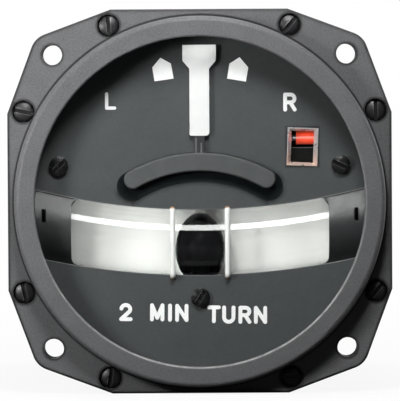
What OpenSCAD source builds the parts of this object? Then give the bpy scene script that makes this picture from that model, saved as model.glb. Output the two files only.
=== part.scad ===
// Turn and slip indicator for an aircraft panel, all sizes in millimetres.
// X runs to the right of the dial, Z runs up and Y runs back into the panel.
// The front of the panel flange lies at Y 0, with the panel holes centred on the Y axis.

/* [Panel flange] */
// Rim of the flange outside the ring, at its straight sides
flange_rim = 1.5; // [1.2:0.1:3]
// Length of each straight side
flat_len = 37.8; // [32:0.2:40]
// Rounding of the corners, about the panel holes
corner_r = 4.7; // [3.8:0.1:5.4]
// Thickness of the bezel flange
flange_t = 4; // [3.2:0.1:6]
// Distance of the panel hole centres outside the ring
panel_out = 4.85; // [4.2:0.05:5.4]
// Diameter of the panel holes
panel_hole_d = 4.3; // [3.2:0.1:5]
// Bevel along the front edge of the flange
edge_bevel = 0.4; // [0.2:0.05:0.8]

/* [Bezel ring] */
// Outer diameter of the raised ring, which passes the panel cut-out
ring_d = 79.2; // [78.6:0.1:79.4]
// Height of the ring in front of the flange
ring_h = 5; // [3.6:0.1:8]
// Width of the ring's front face, from its outer edge to the opening
lip_w = 4.4; // [3.8:0.1:6]
// Thickness of the lip in front of the glass
lip_t = 1.8; // [1.2:0.1:2.4]
// Wall of the ring around the glass
ring_wall = 1.5; // [1.2:0.1:1.7]
// Rounding of the ring's outer edge
ring_round = 1.1; // [0.6:0.1:1.4]
// Rounding of the edge around the opening
lip_round = 0.5; // [0.3:0.05:0.8]

/* [Bezel screws] */
// Distance of the bezel screw centres outside the ring
screw_out = 2.76; // [2.74:0.02:3]
// Angle of each bezel screw from the nearest axis
screw_spread = 27.2; // [24:0.2:29]
// Head diameter of the bezel screws
screw_head_d = 4.3; // [3.8:0.1:4.4]
// Head height of the bezel screws
screw_head_h = 1.8; // [1.2:0.1:2.2]
// Shank diameter of the bezel screws
screw_shank_d = 2.8; // [2:0.1:3]
// Width of the driver slots
slot_w = 0.9; // [0.6:0.05:1.1]

/* [Glass] */
// Thickness of the cover glass
glass_t = 2.4; // [1.6:0.1:2.8]
// Thickness of the rubber ring behind the glass
glass_gasket_t = 1.6; // [0.8:0.1:2]
// Radial width of the glass rings
retainer_w = 1.9; // [1.7:0.05:2.1]
// Thickness of the gasket between bezel and case
flange_gasket_t = 0.5; // [0.3:0.1:1]

/* [Dial] */
// Thickness of the two dial plates
dial_t = 1.2; // [0.8:0.1:1.6]
// Distance of the upper dial posts inside the dial's edge, along X
post_in = 6.1; // [5.6:0.1:7.4]
// Height of the upper dial posts above the middle
post_z = 7.6; // [7:0.1:9.5]
// Diameter of the dial posts
post_d = 4; // [3.2:0.1:4.4]
// Head diameter of the dial screws
dial_head_d = 4.1; // [3.6:0.1:4.6]
// Shank diameter of the small screws
small_shank_d = 2; // [1.6:0.1:2.2]

/* [Pointer] */
// Drop of the pointer pivot below the middle
pivot_drop = 20.8; // [20.4:0.1:21.6]
// Gap between the pointer tip and the ring behind the glass
tip_gap = 2.5; // [2.2:0.1:6.8]
// Width of the pointer head
head_w = 7.2; // [5:0.1:7.4]
// Straight height of the pointer head
head_h = 3.4; // [2:0.1:5]
// Width of the pointer blade
blade_w = 4.25; // [3:0.05:4.6]
// Reach of the foot of the wide blade from the pivot
blade_foot = 34.8; // [33.6:0.1:40]
// Width of the narrow stem and of the tab behind it
stem_w = 2.2; // [1.6:0.1:3]
// Thickness of the pointer
pointer_t = 0.6; // [0.4:0.1:0.8]
// Gap between pointer and dial
pointer_gap = 0.6; // [0.5:0.1:1.3]
// Swing of the pointer to each side
pointer_swing = 14.88; // [10:0.02:15]

/* [Pointer shield] */
// Reach of the middle of the crescent from the pivot
shield_reach = 29.2; // [28.6:0.1:30]
// Width of the crescent
shield_w = 4; // [3.4:0.1:4.6]
// Angle of the crescent's rounded ends
shield_angle = 29.3; // [26:0.1:31]
// Thickness of the crescent
shield_t = 0.7; // [0.5:0.1:1.2]
// Gap between crescent and pointer
shield_gap = 0.3; // [0.3:0.1:1.4]
// Width of the black plate round the pointer's slot
slot_plate_w = 6.2; // [5.4:0.1:6.4]
// Angle of that plate's rounded ends
slot_plate_angle = 31.5; // [30:0.1:32]

/* [Inclinometer] */
// Bend radius of the tube
arc_r = 150; // [135:1:165]
// Drop of the tube below the middle
tube_drop = 8.97; // [8.4:0.01:9.2]
// Outer diameter of the tube
tube_d = 15; // [14.4:0.1:15.2]
// Bore of the tube
tube_bore = 13.2; // [12.4:0.1:13.6]
// Diameter of the slip ball
ball_d = 10.7; // [8:0.1:11]
// Height of the gap between the dial plates
window_h = 14.1; // [12.8:0.1:14.4]
// Length of each end cap, from the bare tube to the rim
cap_l = 8.1; // [7.2:0.1:11.8]
// Distance of the marker wires from the middle
wire_x = 5.9; // [4.6:0.1:7]
// Diameter of the marker wires
wire_d = 1; // [0.7:0.1:1.1]
// Wall of the white backing
backing_t = 0.5; // [0.4:0.1:0.7]

/* [Warning flag] */
// Distance of the flag window inside the dial's edge, along X
flag_in = 14.3; // [13.4:0.1:14.8]
// Height of the flag window above the middle
flag_z = 11.5; // [11:0.1:12.4]
// Width of the window frame
flag_w = 6.6; // [6:0.1:7.4]
// Height of the window frame
flag_h = 8.15; // [7:0.05:9]
// Rim of the window frame
flag_rim = 0.9; // [0.6:0.05:1.1]
// Lean of the window frame
flag_lean = -2.3; // [-3:0.1:3]
// Diameter of the flag drum
drum_d = 2.9; // [2:0.1:3.4]

/* [Case] */
// Step from the ring in to the case behind the flange
case_step = 0.6; // [0.1:0.1:1.1]
// Wall of the case
case_wall = 2.4; // [2:0.1:2.6]
// Thickness of the case flange
case_flange_t = 3; // [2:0.1:5]
// Thickness of the rear cover
cover_t = 2.5; // [2:0.1:4]
// Room between the rear frame and the rear cover
rear_room = 9.5; // [8:0.1:20]

/* [Frame] */
// Thickness of the front frame plate
plate_t = 3; // [2.4:0.1:4]
// Thickness of the rear frame plate
rear_t = 2.5; // [2:0.1:4]
// Rim of the rear frame outside the pillars
pillar_rim = 0.4; // [0.3:0.1:1]
// Diameter of the frame pillars
pillar_d = 4; // [3.4:0.1:4.4]

/* [Gyro] */
// Diameter of the rotor
rotor_d = 42; // [36:0.2:44]
// Length of the rotor
rotor_l = 26; // [22:0.2:28]
// Wall of the rotor rim
rim_t = 6; // [4:0.1:6.4]
// Diameter of the rotor shaft
shaft_d = 4; // [3:0.1:4.6]
// Thickness of the gimbal bars
bar_t = 4; // [3.4:0.1:6]
// Height of the gimbal bars
bar_h = 13; // [12:0.1:15]
// Diameter of the gimbal pivots
gimbal_pivot_d = 3; // [2.4:0.1:3.6]
// Reach of the drive pin from the gimbal axis
drive_reach = 10.4; // [10:0.05:10.8]
// Diameter of the drive pin
drive_pin_d = 2; // [1.6:0.1:2.2]

/* [Damper and spring] */
// Gap between the damper and the pillar beside it
damper_gap = 0.75; // [0.5:0.05:2]
// Diameter of the damper piston
piston_d = 5.8; // [4.6:0.1:6]
// Coil radius of the centring spring
spring_r = 1.8; // [1.5:0.05:2]
// Wire of the centring spring
spring_wire = 0.5; // [0.3:0.05:0.55]
// Curls of the centring spring
spring_curls = 12; // [8:1:13]
// Distance of the spring adjuster inside the rear frame's edge
adjuster_in = 5.4; // [4.4:0.1:7.4]

/* [Connector] */
// Width of the square connector flange
socket_w = 25.4; // [24:0.1:28]
// Spacing of the connector screws
socket_pitch = 18.26; // [17.6:0.02:19.6]
// Outer diameter of the connector barrel
barrel_d = 15.9; // [15:0.1:16.4]
// Bore of the connector barrel
barrel_bore = 12.6; // [12:0.1:13.2]
// Length of the connector barrel
barrel_l = 14; // [12.6:0.1:18]
// Drop of the connector below the middle
socket_drop = 10; // [8:0.1:11]

/* [Hidden] */
$fn = 128;
// Gap of fixed fits and gap of running fits, on the radius
fit = 0.05;
run = 0.04;
// Room between pieces that pass each other, and overlap of cuts
room = 0.3;
eps = 0.5;

// Panel flange and ring
ring_r = ring_d / 2;
flange_w = ring_d + 2 * flange_rim;
hole_at = (ring_r + panel_out) * cos(45);
opening_r = ring_r - lip_w;
recess_r = ring_r - ring_wall;
glass_r = recess_r - 4 * fit;
retainer_r = glass_r - retainer_w;
screw_r = ring_r + screw_out;
bore_d = screw_head_d + 0.45;
screw_depth = screw_head_h + 0.1;
screw_spots = [for (q = [0:3]) for (s = [-1, 1]) q * 90 + s * screw_spread];
// Driver slots stand as a fitter left them
screw_turns = [130, 90, 130, 85, 12, 77, 98, 0];

// Stations along Y, from the front to the back
y_glass0 = lip_t - ring_h;
y_glass1 = y_glass0 + glass_t;
y_glass2 = y_glass1 + glass_gasket_t;
y_case0 = flange_t + flange_gasket_t;
y_dial0 = y_case0;
y_dial1 = y_dial0 + dial_t;
y_pointer1 = y_dial0 - pointer_gap;
y_pointer0 = y_pointer1 - pointer_t;
y_shield1 = y_pointer0 - shield_gap;
y_shield0 = y_shield1 - shield_t;
tube_r = tube_d / 2;
tube_proud = 0.6;
y_tube = y_dial0 - tube_proud + tube_r;
backing_r0 = tube_r + 2 * fit;
backing_r1 = backing_r0 + backing_t;
y_arm0 = y_tube + backing_r1 + 0.8;
arm_t = 1.2;
y_arm1 = y_arm0 + arm_t;
y_plate0 = y_arm1 + 1.5;
y_plate1 = y_plate0 + plate_t;
y_gimbal0 = y_plate1 + 4;
rotor_r = rotor_d / 2;
y_rotor = y_gimbal0 + bar_t + 3 + rotor_r;
y_gimbal1 = y_rotor + rotor_r + 3 + bar_t;
y_rear0 = y_gimbal1 + 7;
y_rear1 = y_rear0 + rear_t;
y_case1 = y_rear1 + rear_room;
y_cover0 = y_case1 + 0.5;
y_cover1 = y_cover0 + cover_t;

// Case
case_r = ring_r - case_step;
case_bore = case_r - case_wall;
dial_r = case_bore - 0.2;
plate_r = case_bore - 0.4;
frame_screw_r = plate_r - 2.2;
frame_spots = [90, 225, 315];
lug_r = 3.4;
lug_at = case_bore - 1.2;
rear_frame_r = lug_at - lug_r - 0.6;
cover_screw_at = lug_at - 1.2;
pillar_at = (rear_frame_r - pillar_rim - pillar_d / 2) * cos(45);
post_x = dial_r - post_in;

// Pointer and its slot
pivot_z = -pivot_drop;
tip_reach = pivot_drop + retainer_r - tip_gap;
post_r = post_d / 2;
hub_r = post_r + 1.2;
slot_a = pointer_swing + 2.9;
slot_half = 1.2;
slot_plate_reach = shield_reach - 1;
slot_plate_t = 0.3;
tab_t = 1.2;

// Inclinometer
tube_z = -tube_drop;
arc_z = arc_r - tube_drop;
cap_clip = retainer_r - 0.2;
window_x = cap_clip - cap_l;
window_round = 1.6;
window_a = asin(window_x / arc_r);
fit_a = asin(fit / arc_r);
backing_a = asin(window_x / (arc_r - window_h / 2)) + fit_a;
tube_a = window_a + 1.45;
cap_r = norm([window_h / 2, y_tube - y_dial1]) - fit;
cap_a = window_a + 3.2;
slit_in = 2.7;
slit_w = 0.9;
slit_h = 2.8;
ball_r = ball_d / 2;
ball_reach = arc_r + tube_bore / 2 - ball_r - 0.1;
wire_y = y_tube - tube_r - 0.2 - wire_d / 2;
leg_at = window_h / 2 + wire_d / 5;

// Warning flag
flag_x = dial_r - flag_in;
drum_r = drum_d / 2;
drum_z = flag_z + 1.9;
drum_y = y_dial1 + 0.5 + drum_r + 0.45;
drum_x0 = flag_x - 1.3;
drum_x1 = flag_x + 3.4;
ear_t = 0.8;
ear_x0 = drum_x0 - 1.6 - ear_t;
ear_x1 = drum_x1 + 0.8;
flag_shaft_r = 0.65;
magnet_x0 = flag_x - 9.8;
magnet_l = 4.5;
magnet_r = 2;
coil_x = magnet_x0 + magnet_l / 2;

// Gyro
rim_r = rotor_r - rim_t;
side_x = rotor_l / 2 + 4.5;
shaft_r = shaft_d / 2;
shaft_bearing_r = shaft_r + 2.5;
pivot_r = gimbal_pivot_d / 2;
pivot_bearing_r = pivot_r + 2.5;
pin_r = drive_pin_d / 2;
pin_play = 0.16;

// Damper and spring
piston_r = piston_d / 2;
barrel_r = piston_r + 0.85;
damper_x = pillar_at - pillar_d / 2 - barrel_r - damper_gap;
y_damper = y_gimbal1 + 3;
rod_r = 0.9;
damper_pin_r = 1;
damper_travel = 4.2;
damper_z0 = 1.8 - rear_frame_r;
piston_h = 3.4;
piston_z = damper_z0 + 1 + room + damper_travel + piston_h / 2;
damper_z1 = piston_z + piston_h / 2 + damper_travel + room + 1.2;
adjuster_z = rear_frame_r - adjuster_in;
spring_pin_z = 8;
spring_pin_r = 0.7;
y_spring = y_gimbal1 + 2.5;
adjuster_r = 1.2;
spring_z0 = spring_pin_z + spring_pin_r + 0.1;
spring_z1 = adjuster_z - adjuster_r - 0.1;

// Connector
socket_z = -socket_drop;
socket_t = 2.4;
y_barrel0 = y_cover1 + socket_t;
y_barrel1 = y_barrel0 + barrel_l;
y_insert1 = y_barrel0 + 2.6;
contact_r = 3.8;
contact_d = 1.6;
contact_l = 6.8;

// Flat drawing in the dial plane, pushed back along Y
module slab(y0, y1) {
  translate([0, y1, 0]) rotate([90, 0, 0]) linear_extrude(height = y1 - y0) children();
}

module rod_y(x, z, y0, y1, r) {
  translate([x, y0, z]) rotate([-90, 0, 0]) cylinder(r = r, h = y1 - y0);
}

module rod_x(y, z, x0, x1, r) {
  translate([x0, y, z]) rotate([0, 90, 0]) cylinder(r = r, h = x1 - x0);
}

module rod_z(x, y, z0, z1, r) {
  translate([x, y, z0]) cylinder(r = r, h = z1 - z0);
}

module ring_y(x, z, y0, y1, r0, r1) {
  difference() {
    rod_y(x, z, y0, y1, r1);
    rod_y(x, z, y0 - eps, y1 + eps, r0);
  }
}

// Profile of radius and Y, turned about the Y axis
module turned() {
  rotate([-90, 0, 0]) rotate_extrude() children();
}

// Profile of radius and Y, swept about the centre of the tube's bend, angles to the right
module arc_sweep(a0, a1) {
  translate([0, 0, arc_z]) rotate([-90, 0, 0]) rotate([0, 0, 90 - a1])
    rotate_extrude(angle = a1 - a0) children();
}

// Profile of radius and Y, swept about the pointer pivot, angles to the right of up
module pivot_sweep(a0, a1) {
  translate([0, 0, pivot_z]) rotate([-90, 0, 0]) rotate([0, 0, a0 - 90])
    rotate_extrude(angle = a1 - a0) children();
}

module at_angle(a, r) {
  translate([r * cos(a), 0, r * sin(a)]) children();
}

module at_pivot(a) {
  translate([0, 0, pivot_z]) rotate([0, a, 0]) children();
}

// Slotted screw along Y with a domed head, its seat at Y 0 and its shank towards +Y
module screw(head_r, head_h, shank_r, shank_l, turn) {
  dome_h = head_h * 0.3;
  dome_r = (head_r * head_r + dome_h * dome_h) / (2 * dome_h);
  difference() {
    union() {
      intersection() {
        rod_y(0, 0, -head_h, 0, head_r);
        translate([0, dome_r - head_h, 0]) sphere(r = dome_r);
      }
      rod_y(0, 0, 0, shank_l, shank_r);
    }
    rotate([0, turn, 0])
      translate([-head_r - eps, -head_h - eps, -slot_w / 2])
        cube([2 * head_r + 2 * eps, head_h * 0.45 + eps, slot_w]);
  }
}

// Flange outline: straight sides, slanted sides and corners round the panel holes
function turn_point(p, q) = [p[0] * cos(90 * q) + p[1] * sin(90 * q),
  p[1] * cos(90 * q) - p[0] * sin(90 * q)];
module flange_sides(inset = 0) {
  side = flange_w / 2;
  reach = hole_at - flat_len / 2;
  fall = hole_at - side;
  span = sqrt(reach * reach + fall * fall);
  slant = atan2(fall, reach) + asin(corner_r / span);
  start = [flat_len / 2 + inset * tan(slant / 2), side - inset];
  foot = [hole_at, hole_at] + (corner_r - inset) * [-sin(slant), cos(slant)];
  quarter = [start, foot, [foot[1], foot[0]], [start[1], start[0]]];
  polygon([for (q = [0:3]) for (p = quarter) turn_point(p, q)]);
}

module flange_outline(inset = 0) {
  flange_sides(inset);
  for (x = [-1, 1], z = [-1, 1])
    translate([x * hole_at, z * hole_at]) circle(r = corner_r - inset);
}

module panel_holes(y0, y1) {
  for (x = [-1, 1], z = [-1, 1]) rod_y(x * hole_at, z * hole_at, y0, y1, panel_hole_d / 2);
}

module bezel_holes(y0, y1, r) {
  for (a = screw_spots) at_angle(a, screw_r) rod_y(0, 0, y0, y1, r);
}

module ring_profile() {
  flat_in = opening_r + lip_round;
  flat_out = ring_r - ring_round;
  translate([flat_in, -ring_h]) square([flat_out - flat_in, ring_h + eps]);
  translate([opening_r, lip_round - ring_h]) square([2, ring_h]);
  translate([flat_out - 1, ring_round - ring_h]) square([ring_round + 1, ring_h - ring_round + eps]);
  translate([flat_in, lip_round - ring_h]) circle(r = lip_round);
  translate([flat_out, ring_round - ring_h]) circle(r = ring_round);
}

module front_bezel() color("dimgray") difference() {
  union() {
    slab(edge_bevel, flange_t) flange_outline();
    hull() {
      slab(0, 0.02) flange_outline(edge_bevel, $fn = 48);
      slab(edge_bevel, edge_bevel + 0.02) flange_outline($fn = 48);
    }
    turned() ring_profile();
  }
  rod_y(0, 0, -ring_h - 1, flange_t + 1, opening_r);
  rod_y(0, 0, y_glass0, flange_t + 1, recess_r);
  panel_holes(-1, flange_t + 1);
  bezel_holes(-1, flange_t + 1, screw_shank_d / 2 + 2 * fit);
  bezel_holes(-1, screw_depth, bore_d / 2);
}

module bezel_screws() color("black") for (i = [0:7])
  at_angle(screw_spots[i], screw_r) translate([0, screw_depth, 0])
    screw(screw_head_d / 2, screw_head_h, screw_shank_d / 2,
      y_case0 + case_flange_t - screw_depth - 0.5, screw_turns[i]);

module cover_glass() color("lightcyan", 0.3) rod_y(0, 0, y_glass0, y_glass1, glass_r);

module glass_gasket() color("black") ring_y(0, 0, y_glass1, y_glass2, retainer_r, glass_r);

module glass_retainer() color("dimgray") ring_y(0, 0, y_glass2, y_case0, retainer_r, glass_r);

module flange_gasket() color("black") difference() {
  slab(flange_t, y_case0) flange_sides();
  rod_y(0, 0, flange_t - 1, y_case0 + 1, recess_r);
  panel_holes(flange_t - 1, y_case0 + 1);
  bezel_holes(flange_t - 1, y_case0 + 1, screw_shank_d / 2 + 2 * fit);
}

module case() color("darkslategray") difference() {
  union() {
    slab(y_case0, y_case0 + case_flange_t) flange_outline();
    turned() polygon([[case_bore, y_case0 + 1], [case_r, y_case0 + 1], [case_r, y_case1 - 1],
      [case_r - 1, y_case1], [case_bore, y_case1]]);
    for (a = frame_spots) at_angle(a, lug_at) rod_y(0, 0, y_plate1, y_plate1 + 8, lug_r);
    for (q = [0:3]) at_angle(45 + 90 * q, lug_at) rod_y(0, 0, y_case1 - 8, y_case1, lug_r);
  }
  rod_y(0, 0, y_case0 - 1, y_plate1, case_bore);
  panel_holes(y_case0 - 1, y_case0 + case_flange_t + 1);
  bezel_holes(y_case0 - 1, y_case0 + case_flange_t + 1, screw_shank_d / 2 + fit);
  for (a = frame_spots) at_angle(a, frame_screw_r)
    rod_y(0, 0, y_plate1 - 1, y_plate1 + 6.5, small_shank_d / 2 + fit);
  for (q = [0:3]) at_angle(45 + 90 * q, cover_screw_at)
    rod_y(0, 0, y_case1 - 6.5, y_case1 + 1, small_shank_d / 2 + fit);
}

// Dial plates
module bend_circle(r) {
  translate([0, arc_z]) circle(r = r, $fn = 256);
}

module wire_holes() {
  for (x = [-1, 1], z = [-1, 1])
    rod_y(x * wire_x, tube_z + z * leg_at, y_dial0 - 1, y_dial1 + 1, wire_d / 2 + fit);
}

module pointer_slot(y0, y1) {
  pivot_sweep(-slot_a, slot_a) translate([shield_reach - slot_half, y0]) square([2 * slot_half, y1 - y0]);
}

// Crescent of a given width about the pointer's pivot, with round ends
module crescent(reach, w, angle, y0, y1) {
  pivot_sweep(-angle, angle) translate([reach - w / 2, y0]) square([w, y1 - y0]);
  for (s = [-1, 1]) at_pivot(s * angle) rod_y(0, reach, y0, y1, w / 2);
}

module upper_dial() color("darkslategray") difference() {
  slab(y_dial0, y_dial1) intersection() {
    circle(r = dial_r);
    bend_circle(arc_r - window_h / 2);
  }
  pointer_slot(y_dial0 - 1, y_dial1 + 1);
  for (x = [-1, 1]) {
    rod_y(x * post_x, post_z, y_dial0 - 1, y_dial1 + 1, small_shank_d / 2 + fit);
    at_pivot(x * shield_angle) rod_y(0, shield_reach, y_dial0 - 1, y_dial1 + 1, 0.7 + fit);
  }
  wire_holes();
  translate([flag_x, 0, flag_z]) rotate([0, -flag_lean, 0])
    slab(y_dial0 - 1, y_dial1 + 1) square([flag_w - 0.3, flag_h - 0.3], center = true);
}

module lower_dial() color("darkslategray") difference() {
  slab(y_dial0, y_dial1) difference() {
    circle(r = dial_r);
    bend_circle(arc_r + window_h / 2);
  }
  rod_y(0, pivot_z, y_dial0 - 1, y_dial1 + 1, small_shank_d / 2 + fit);
  wire_holes();
}

module dial_screws() color("black") {
  dial_screw(post_x, post_z, 25);
  dial_screw(-post_x, post_z, -45);
  dial_screw(0, pivot_z, -58);
}

module dial_screw(x, z, turn) {
  translate([x, y_dial0, z]) screw(dial_head_d / 2, 1.2, small_shank_d / 2, dial_t + 4, turn);
}

module dial_posts() color("goldenrod") for (x = [-1, 1]) difference() {
  rod_y(x * post_x, post_z, y_dial1, y_plate0, post_r);
  rod_y(x * post_x, post_z, y_dial1 - 1, y_dial1 + 5, small_shank_d / 2 + fit);
}

module pivot_post() color("goldenrod") difference() {
  union() {
    rod_y(0, pivot_z, y_dial1, y_plate0, post_r);
    rod_y(0, pivot_z, y_arm0 - 4.2, y_arm0 - 3.2, post_r + 1);
  }
  rod_y(0, pivot_z, y_dial1 - 1, y_dial1 + 5, small_shank_d / 2 + fit);
}

module slot_plate() color("black") difference() {
  crescent(slot_plate_reach, slot_plate_w, slot_plate_angle, y_dial0 - slot_plate_t, y_dial0);
  pointer_slot(y_dial0 - 1, y_dial0 + 1);
  for (s = [-1, 1]) at_pivot(s * shield_angle)
    rod_y(0, shield_reach, y_dial0 - 1, y_dial0 + 1, 1.1 + fit);
}

module pointer_shield() color("dimgray") difference() {
  crescent(shield_reach, shield_w, shield_angle, y_shield0, y_shield1);
  for (s = [-1, 1]) at_pivot(s * shield_angle)
    rod_y(0, shield_reach, y_shield0 + 0.3, y_shield1 + 1, 0.7 + fit);
}

module shield_posts() color("silver") for (s = [-1, 1]) at_pivot(s * shield_angle) {
  rod_y(0, shield_reach, y_shield1, y_dial0, 1.1);
  rod_y(0, shield_reach, y_shield0 + 0.35, y_dial1, 0.7);
}

// Inclinometer
module inclinometer_tube() color("lightcyan", 0.3) arc_sweep(-tube_a, tube_a)
  translate([arc_r, y_tube]) difference() {
    circle(r = tube_r);
    circle(r = tube_bore / 2);
  }

module tube_backing() color("white") arc_sweep(-backing_a, backing_a)
  translate([arc_r, y_tube]) intersection() {
    difference() {
      circle(r = backing_r1);
      circle(r = backing_r0);
    }
    translate([-2 * tube_r, 0]) square([4 * tube_r, 2 * tube_r]);
  }

// End cap on the right: a cup over the tube, an upright window edge with rounded corners and a foot
function bend_height(r, x) = arc_z - sqrt(r * r - x * x);
module end_cap() {
  edge_x = window_x - window_round;
  lead_a = asin(edge_x / (arc_r + cap_r));
  low = bend_height(arc_r + window_h / 2 - window_round, edge_x);
  high = bend_height(arc_r - window_h / 2 + window_round, edge_x);
  difference() {
    union() {
      intersection() {
        arc_sweep(lead_a, cap_a) translate([arc_r, y_tube]) circle(r = cap_r);
        rod_y(0, 0, y_tube - 2 * tube_r, y_plate0, cap_clip);
      }
      translate([0, 0, arc_z]) rotate([0, -window_a - 1.4, 0])
        rod_y(0, -arc_r, y_tube + tube_r, y_plate0, 3);
    }
    arc_sweep(lead_a - 1, tube_a) translate([arc_r, y_tube]) circle(r = tube_r + fit);
    arc_sweep(lead_a - 1, backing_a + fit_a)
      translate([arc_r - 2 * tube_r, y_tube - fit]) square([4 * tube_r, 2 * tube_r]);
    slab(y_tube - 2 * tube_r, y_tube + 2 * tube_r) {
      translate([edge_x - 6, low - tube_r]) square([6, high - low + 2 * tube_r]);
      translate([edge_x - 6, low]) square([6 + window_round, high - low]);
      for (z = [low, high]) translate([edge_x, z]) circle(r = window_round);
    }
    translate([cap_clip - slit_in, y_tube - 2 * tube_r, tube_z + 7.4 - slit_h])
      cube([slit_w, 2 * tube_r - 2, slit_h]);
  }
}

module tube_end_cap_right() color("black") end_cap();

module tube_end_cap_left() color("black") mirror([1, 0, 0]) end_cap();

module marker_wires() color("white") for (x = [-1, 1]) {
  rod_z(x * wire_x, wire_y, tube_z - leg_at, tube_z + leg_at, wire_d / 2);
  for (z = [-1, 1]) {
    rod_y(x * wire_x, tube_z + z * leg_at, wire_y, y_dial1, wire_d / 2);
    translate([x * wire_x, wire_y, tube_z + z * leg_at]) sphere(r = wire_d / 2);
  }
}

module slip_ball() color("black") translate([0, y_tube, arc_z - ball_reach]) sphere(r = ball_r);

// Warning flag
module flag_window_frame() color("silver")
  translate([flag_x, 0, flag_z]) rotate([0, -flag_lean, 0]) difference() {
    union() {
      slab(y_dial0 - 0.2, y_dial0) square([flag_w, flag_h], center = true);
      slab(y_dial0, y_dial1) square([flag_w - 0.4, flag_h - 0.4], center = true);
    }
    slab(y_dial0 - 1, y_dial1 + 1)
      square([flag_w - 2 * flag_rim, flag_h - 1.6 * flag_rim], center = true);
    hull() {
      slab(y_dial0 - 0.24, y_dial0 - 0.22) square([flag_w - 0.4, flag_h - 0.4], center = true);
      slab(y_dial0 + 0.9, y_dial0 + 0.92)
        square([flag_w - 2 * flag_rim - 0.02, flag_h - 1.6 * flag_rim - 0.02], center = true);
    }
  }

module flag_bracket() color("black") {
  low = flag_z - 4.4;
  high = drum_z + 2.8;
  back = drum_y + 2.6;
  difference() {
    union() {
      for (x = [ear_x0, ear_x1]) translate([x, y_dial1, low]) cube([ear_t, back - y_dial1, high - low]);
      translate([ear_x0, back - ear_t, low]) cube([ear_x1 + ear_t - ear_x0, ear_t, high - low]);
      translate([ear_x0, y_dial1 + 0.6, low])
        cube([ear_x1 + ear_t - ear_x0, 0.7, drum_z - drum_r - 0.6 - low]);
    }
    rod_x(drum_y, drum_z, ear_x0 - 1, ear_x1 + ear_t + 1, flag_shaft_r + run);
  }
}

module flag_shaft() color("silver")
  rod_x(drum_y, drum_z, magnet_x0 - 0.8, ear_x1 + ear_t + 0.5, flag_shaft_r);

module flag_drum() color("red") difference() {
  rod_x(drum_y, drum_z, drum_x0, drum_x1, drum_r);
  rod_x(drum_y, drum_z, drum_x0 - 1, drum_x1 + 1, flag_shaft_r + 0.02);
}

module flag_magnet() color("gray") difference() {
  rod_x(drum_y, drum_z, magnet_x0, magnet_x0 + magnet_l, magnet_r);
  rod_x(drum_y, drum_z, magnet_x0 - 1, magnet_x0 + magnet_l + 1, flag_shaft_r + 0.02);
}

module flag_coil() color("peru") {
  front = drum_y + magnet_r + 0.8;
  rod_y(coil_x, drum_z, front, y_plate0, 1.4);
  ring_y(coil_x, drum_z, front + 1, y_plate0 - 1, 1.4, 3.4);
  for (y = [front + 0.2, y_plate0 - 1]) ring_y(coil_x, drum_z, y, y + 0.8, 1.4, 3.9);
}

// Pointer, drawn as it lies in the dial plane with its pivot at the drawing's origin
module pointer() color("white") translate([0, 0, pivot_z]) slab(y_pointer0, y_pointer1) {
  neck = tip_reach - head_h;
  translate([-head_w / 2, neck]) square([head_w, head_h]);
  polygon([[-head_w / 2, neck], [-blade_w / 2, neck - 1.7], [-blade_w / 2, blade_foot],
    [blade_w / 2, blade_foot], [blade_w / 2, neck - 1.7], [head_w / 2, neck]]);
  translate([-stem_w / 2, shield_reach - tab_t / 2]) square([stem_w, blade_foot - shield_reach + 1]);
}

module pointer_arm() color("dimgray") translate([0, 0, pivot_z]) difference() {
  union() {
    rod_y(0, 0, y_arm0 - 3, y_arm1 + 1.2, hub_r);
    slab(y_arm0, y_arm1) {
      translate([-2.4, 0]) square([4.8, pivot_drop - drive_reach + 3.4]);
      translate([-stem_w / 2, 0]) square([stem_w, shield_reach + tab_t / 2]);
      translate([-1.6, -7]) square([3.2, 7]);
      translate([0, -7]) circle(r = 2.6);
    }
    translate([-stem_w / 2, y_pointer1, shield_reach - tab_t / 2])
      cube([stem_w, y_arm0 - y_pointer1 + arm_t / 2, tab_t]);
  }
  rod_y(0, 0, y_arm0 - 4, y_arm1 + 2, post_r + run);
  slab(y_arm0 - 1, y_arm1 + 1) {
    low = pivot_drop - drive_reach;
    for (v = [low - 0.25, low + 0.9]) translate([0, v]) circle(r = pin_r + pin_play);
    translate([-pin_r - pin_play, low - 0.25]) square([2 * (pin_r + pin_play), 1.15]);
  }
}

// Frame
module pillar_spots() {
  for (x = [-1, 1], z = [-1, 1]) translate([x * pillar_at, 0, z * pillar_at]) children();
}

module front_frame() color("silver") difference() {
  rod_y(0, 0, y_plate0, y_plate1, plate_r);
  rod_y(0, 0, y_plate0 - 1, y_plate1 + 1, pivot_bearing_r + fit);
  for (a = frame_spots) at_angle(a, frame_screw_r)
    rod_y(0, 0, y_plate0 - 1, y_plate1 + 1, small_shank_d / 2 + 2 * fit);
  pillar_spots() rod_y(0, 0, y_plate0 - 1, y_plate1 + 1, small_shank_d / 2 + 2 * fit);
  slab(y_plate0 - 1, y_plate1 + 1) translate([0, -drive_reach + 0.2])
    square([2 * drive_reach * sin(16) + 2 * pin_r + 3, 2 * pin_r + 2.4], center = true);
}

module frame_screws() color("silver") for (a = frame_spots)
  at_angle(a, frame_screw_r) translate([0, y_plate0, 0]) screw(2, 1.3, small_shank_d / 2, plate_t + 6, a);

module frame_pillars() color("silver") pillar_spots() difference() {
  rod_y(0, 0, y_plate1, y_rear0, pillar_d / 2);
  for (y = [y_plate1 - 1, y_rear0 - 6]) rod_y(0, 0, y, y + 7, small_shank_d / 2 + fit);
}

module rear_frame() color("silver") difference() {
  rod_y(0, 0, y_rear0, y_rear1, rear_frame_r);
  rod_y(0, 0, y_rear0 - 1, y_rear1 + 1, pivot_bearing_r + fit);
  pillar_spots() rod_y(0, 0, y_rear0 - 1, y_rear1 + 1, small_shank_d / 2 + 2 * fit);
  rod_y(0, adjuster_z, y_rear0 - 1, y_rear1 + 1, adjuster_r + fit);
}

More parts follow.
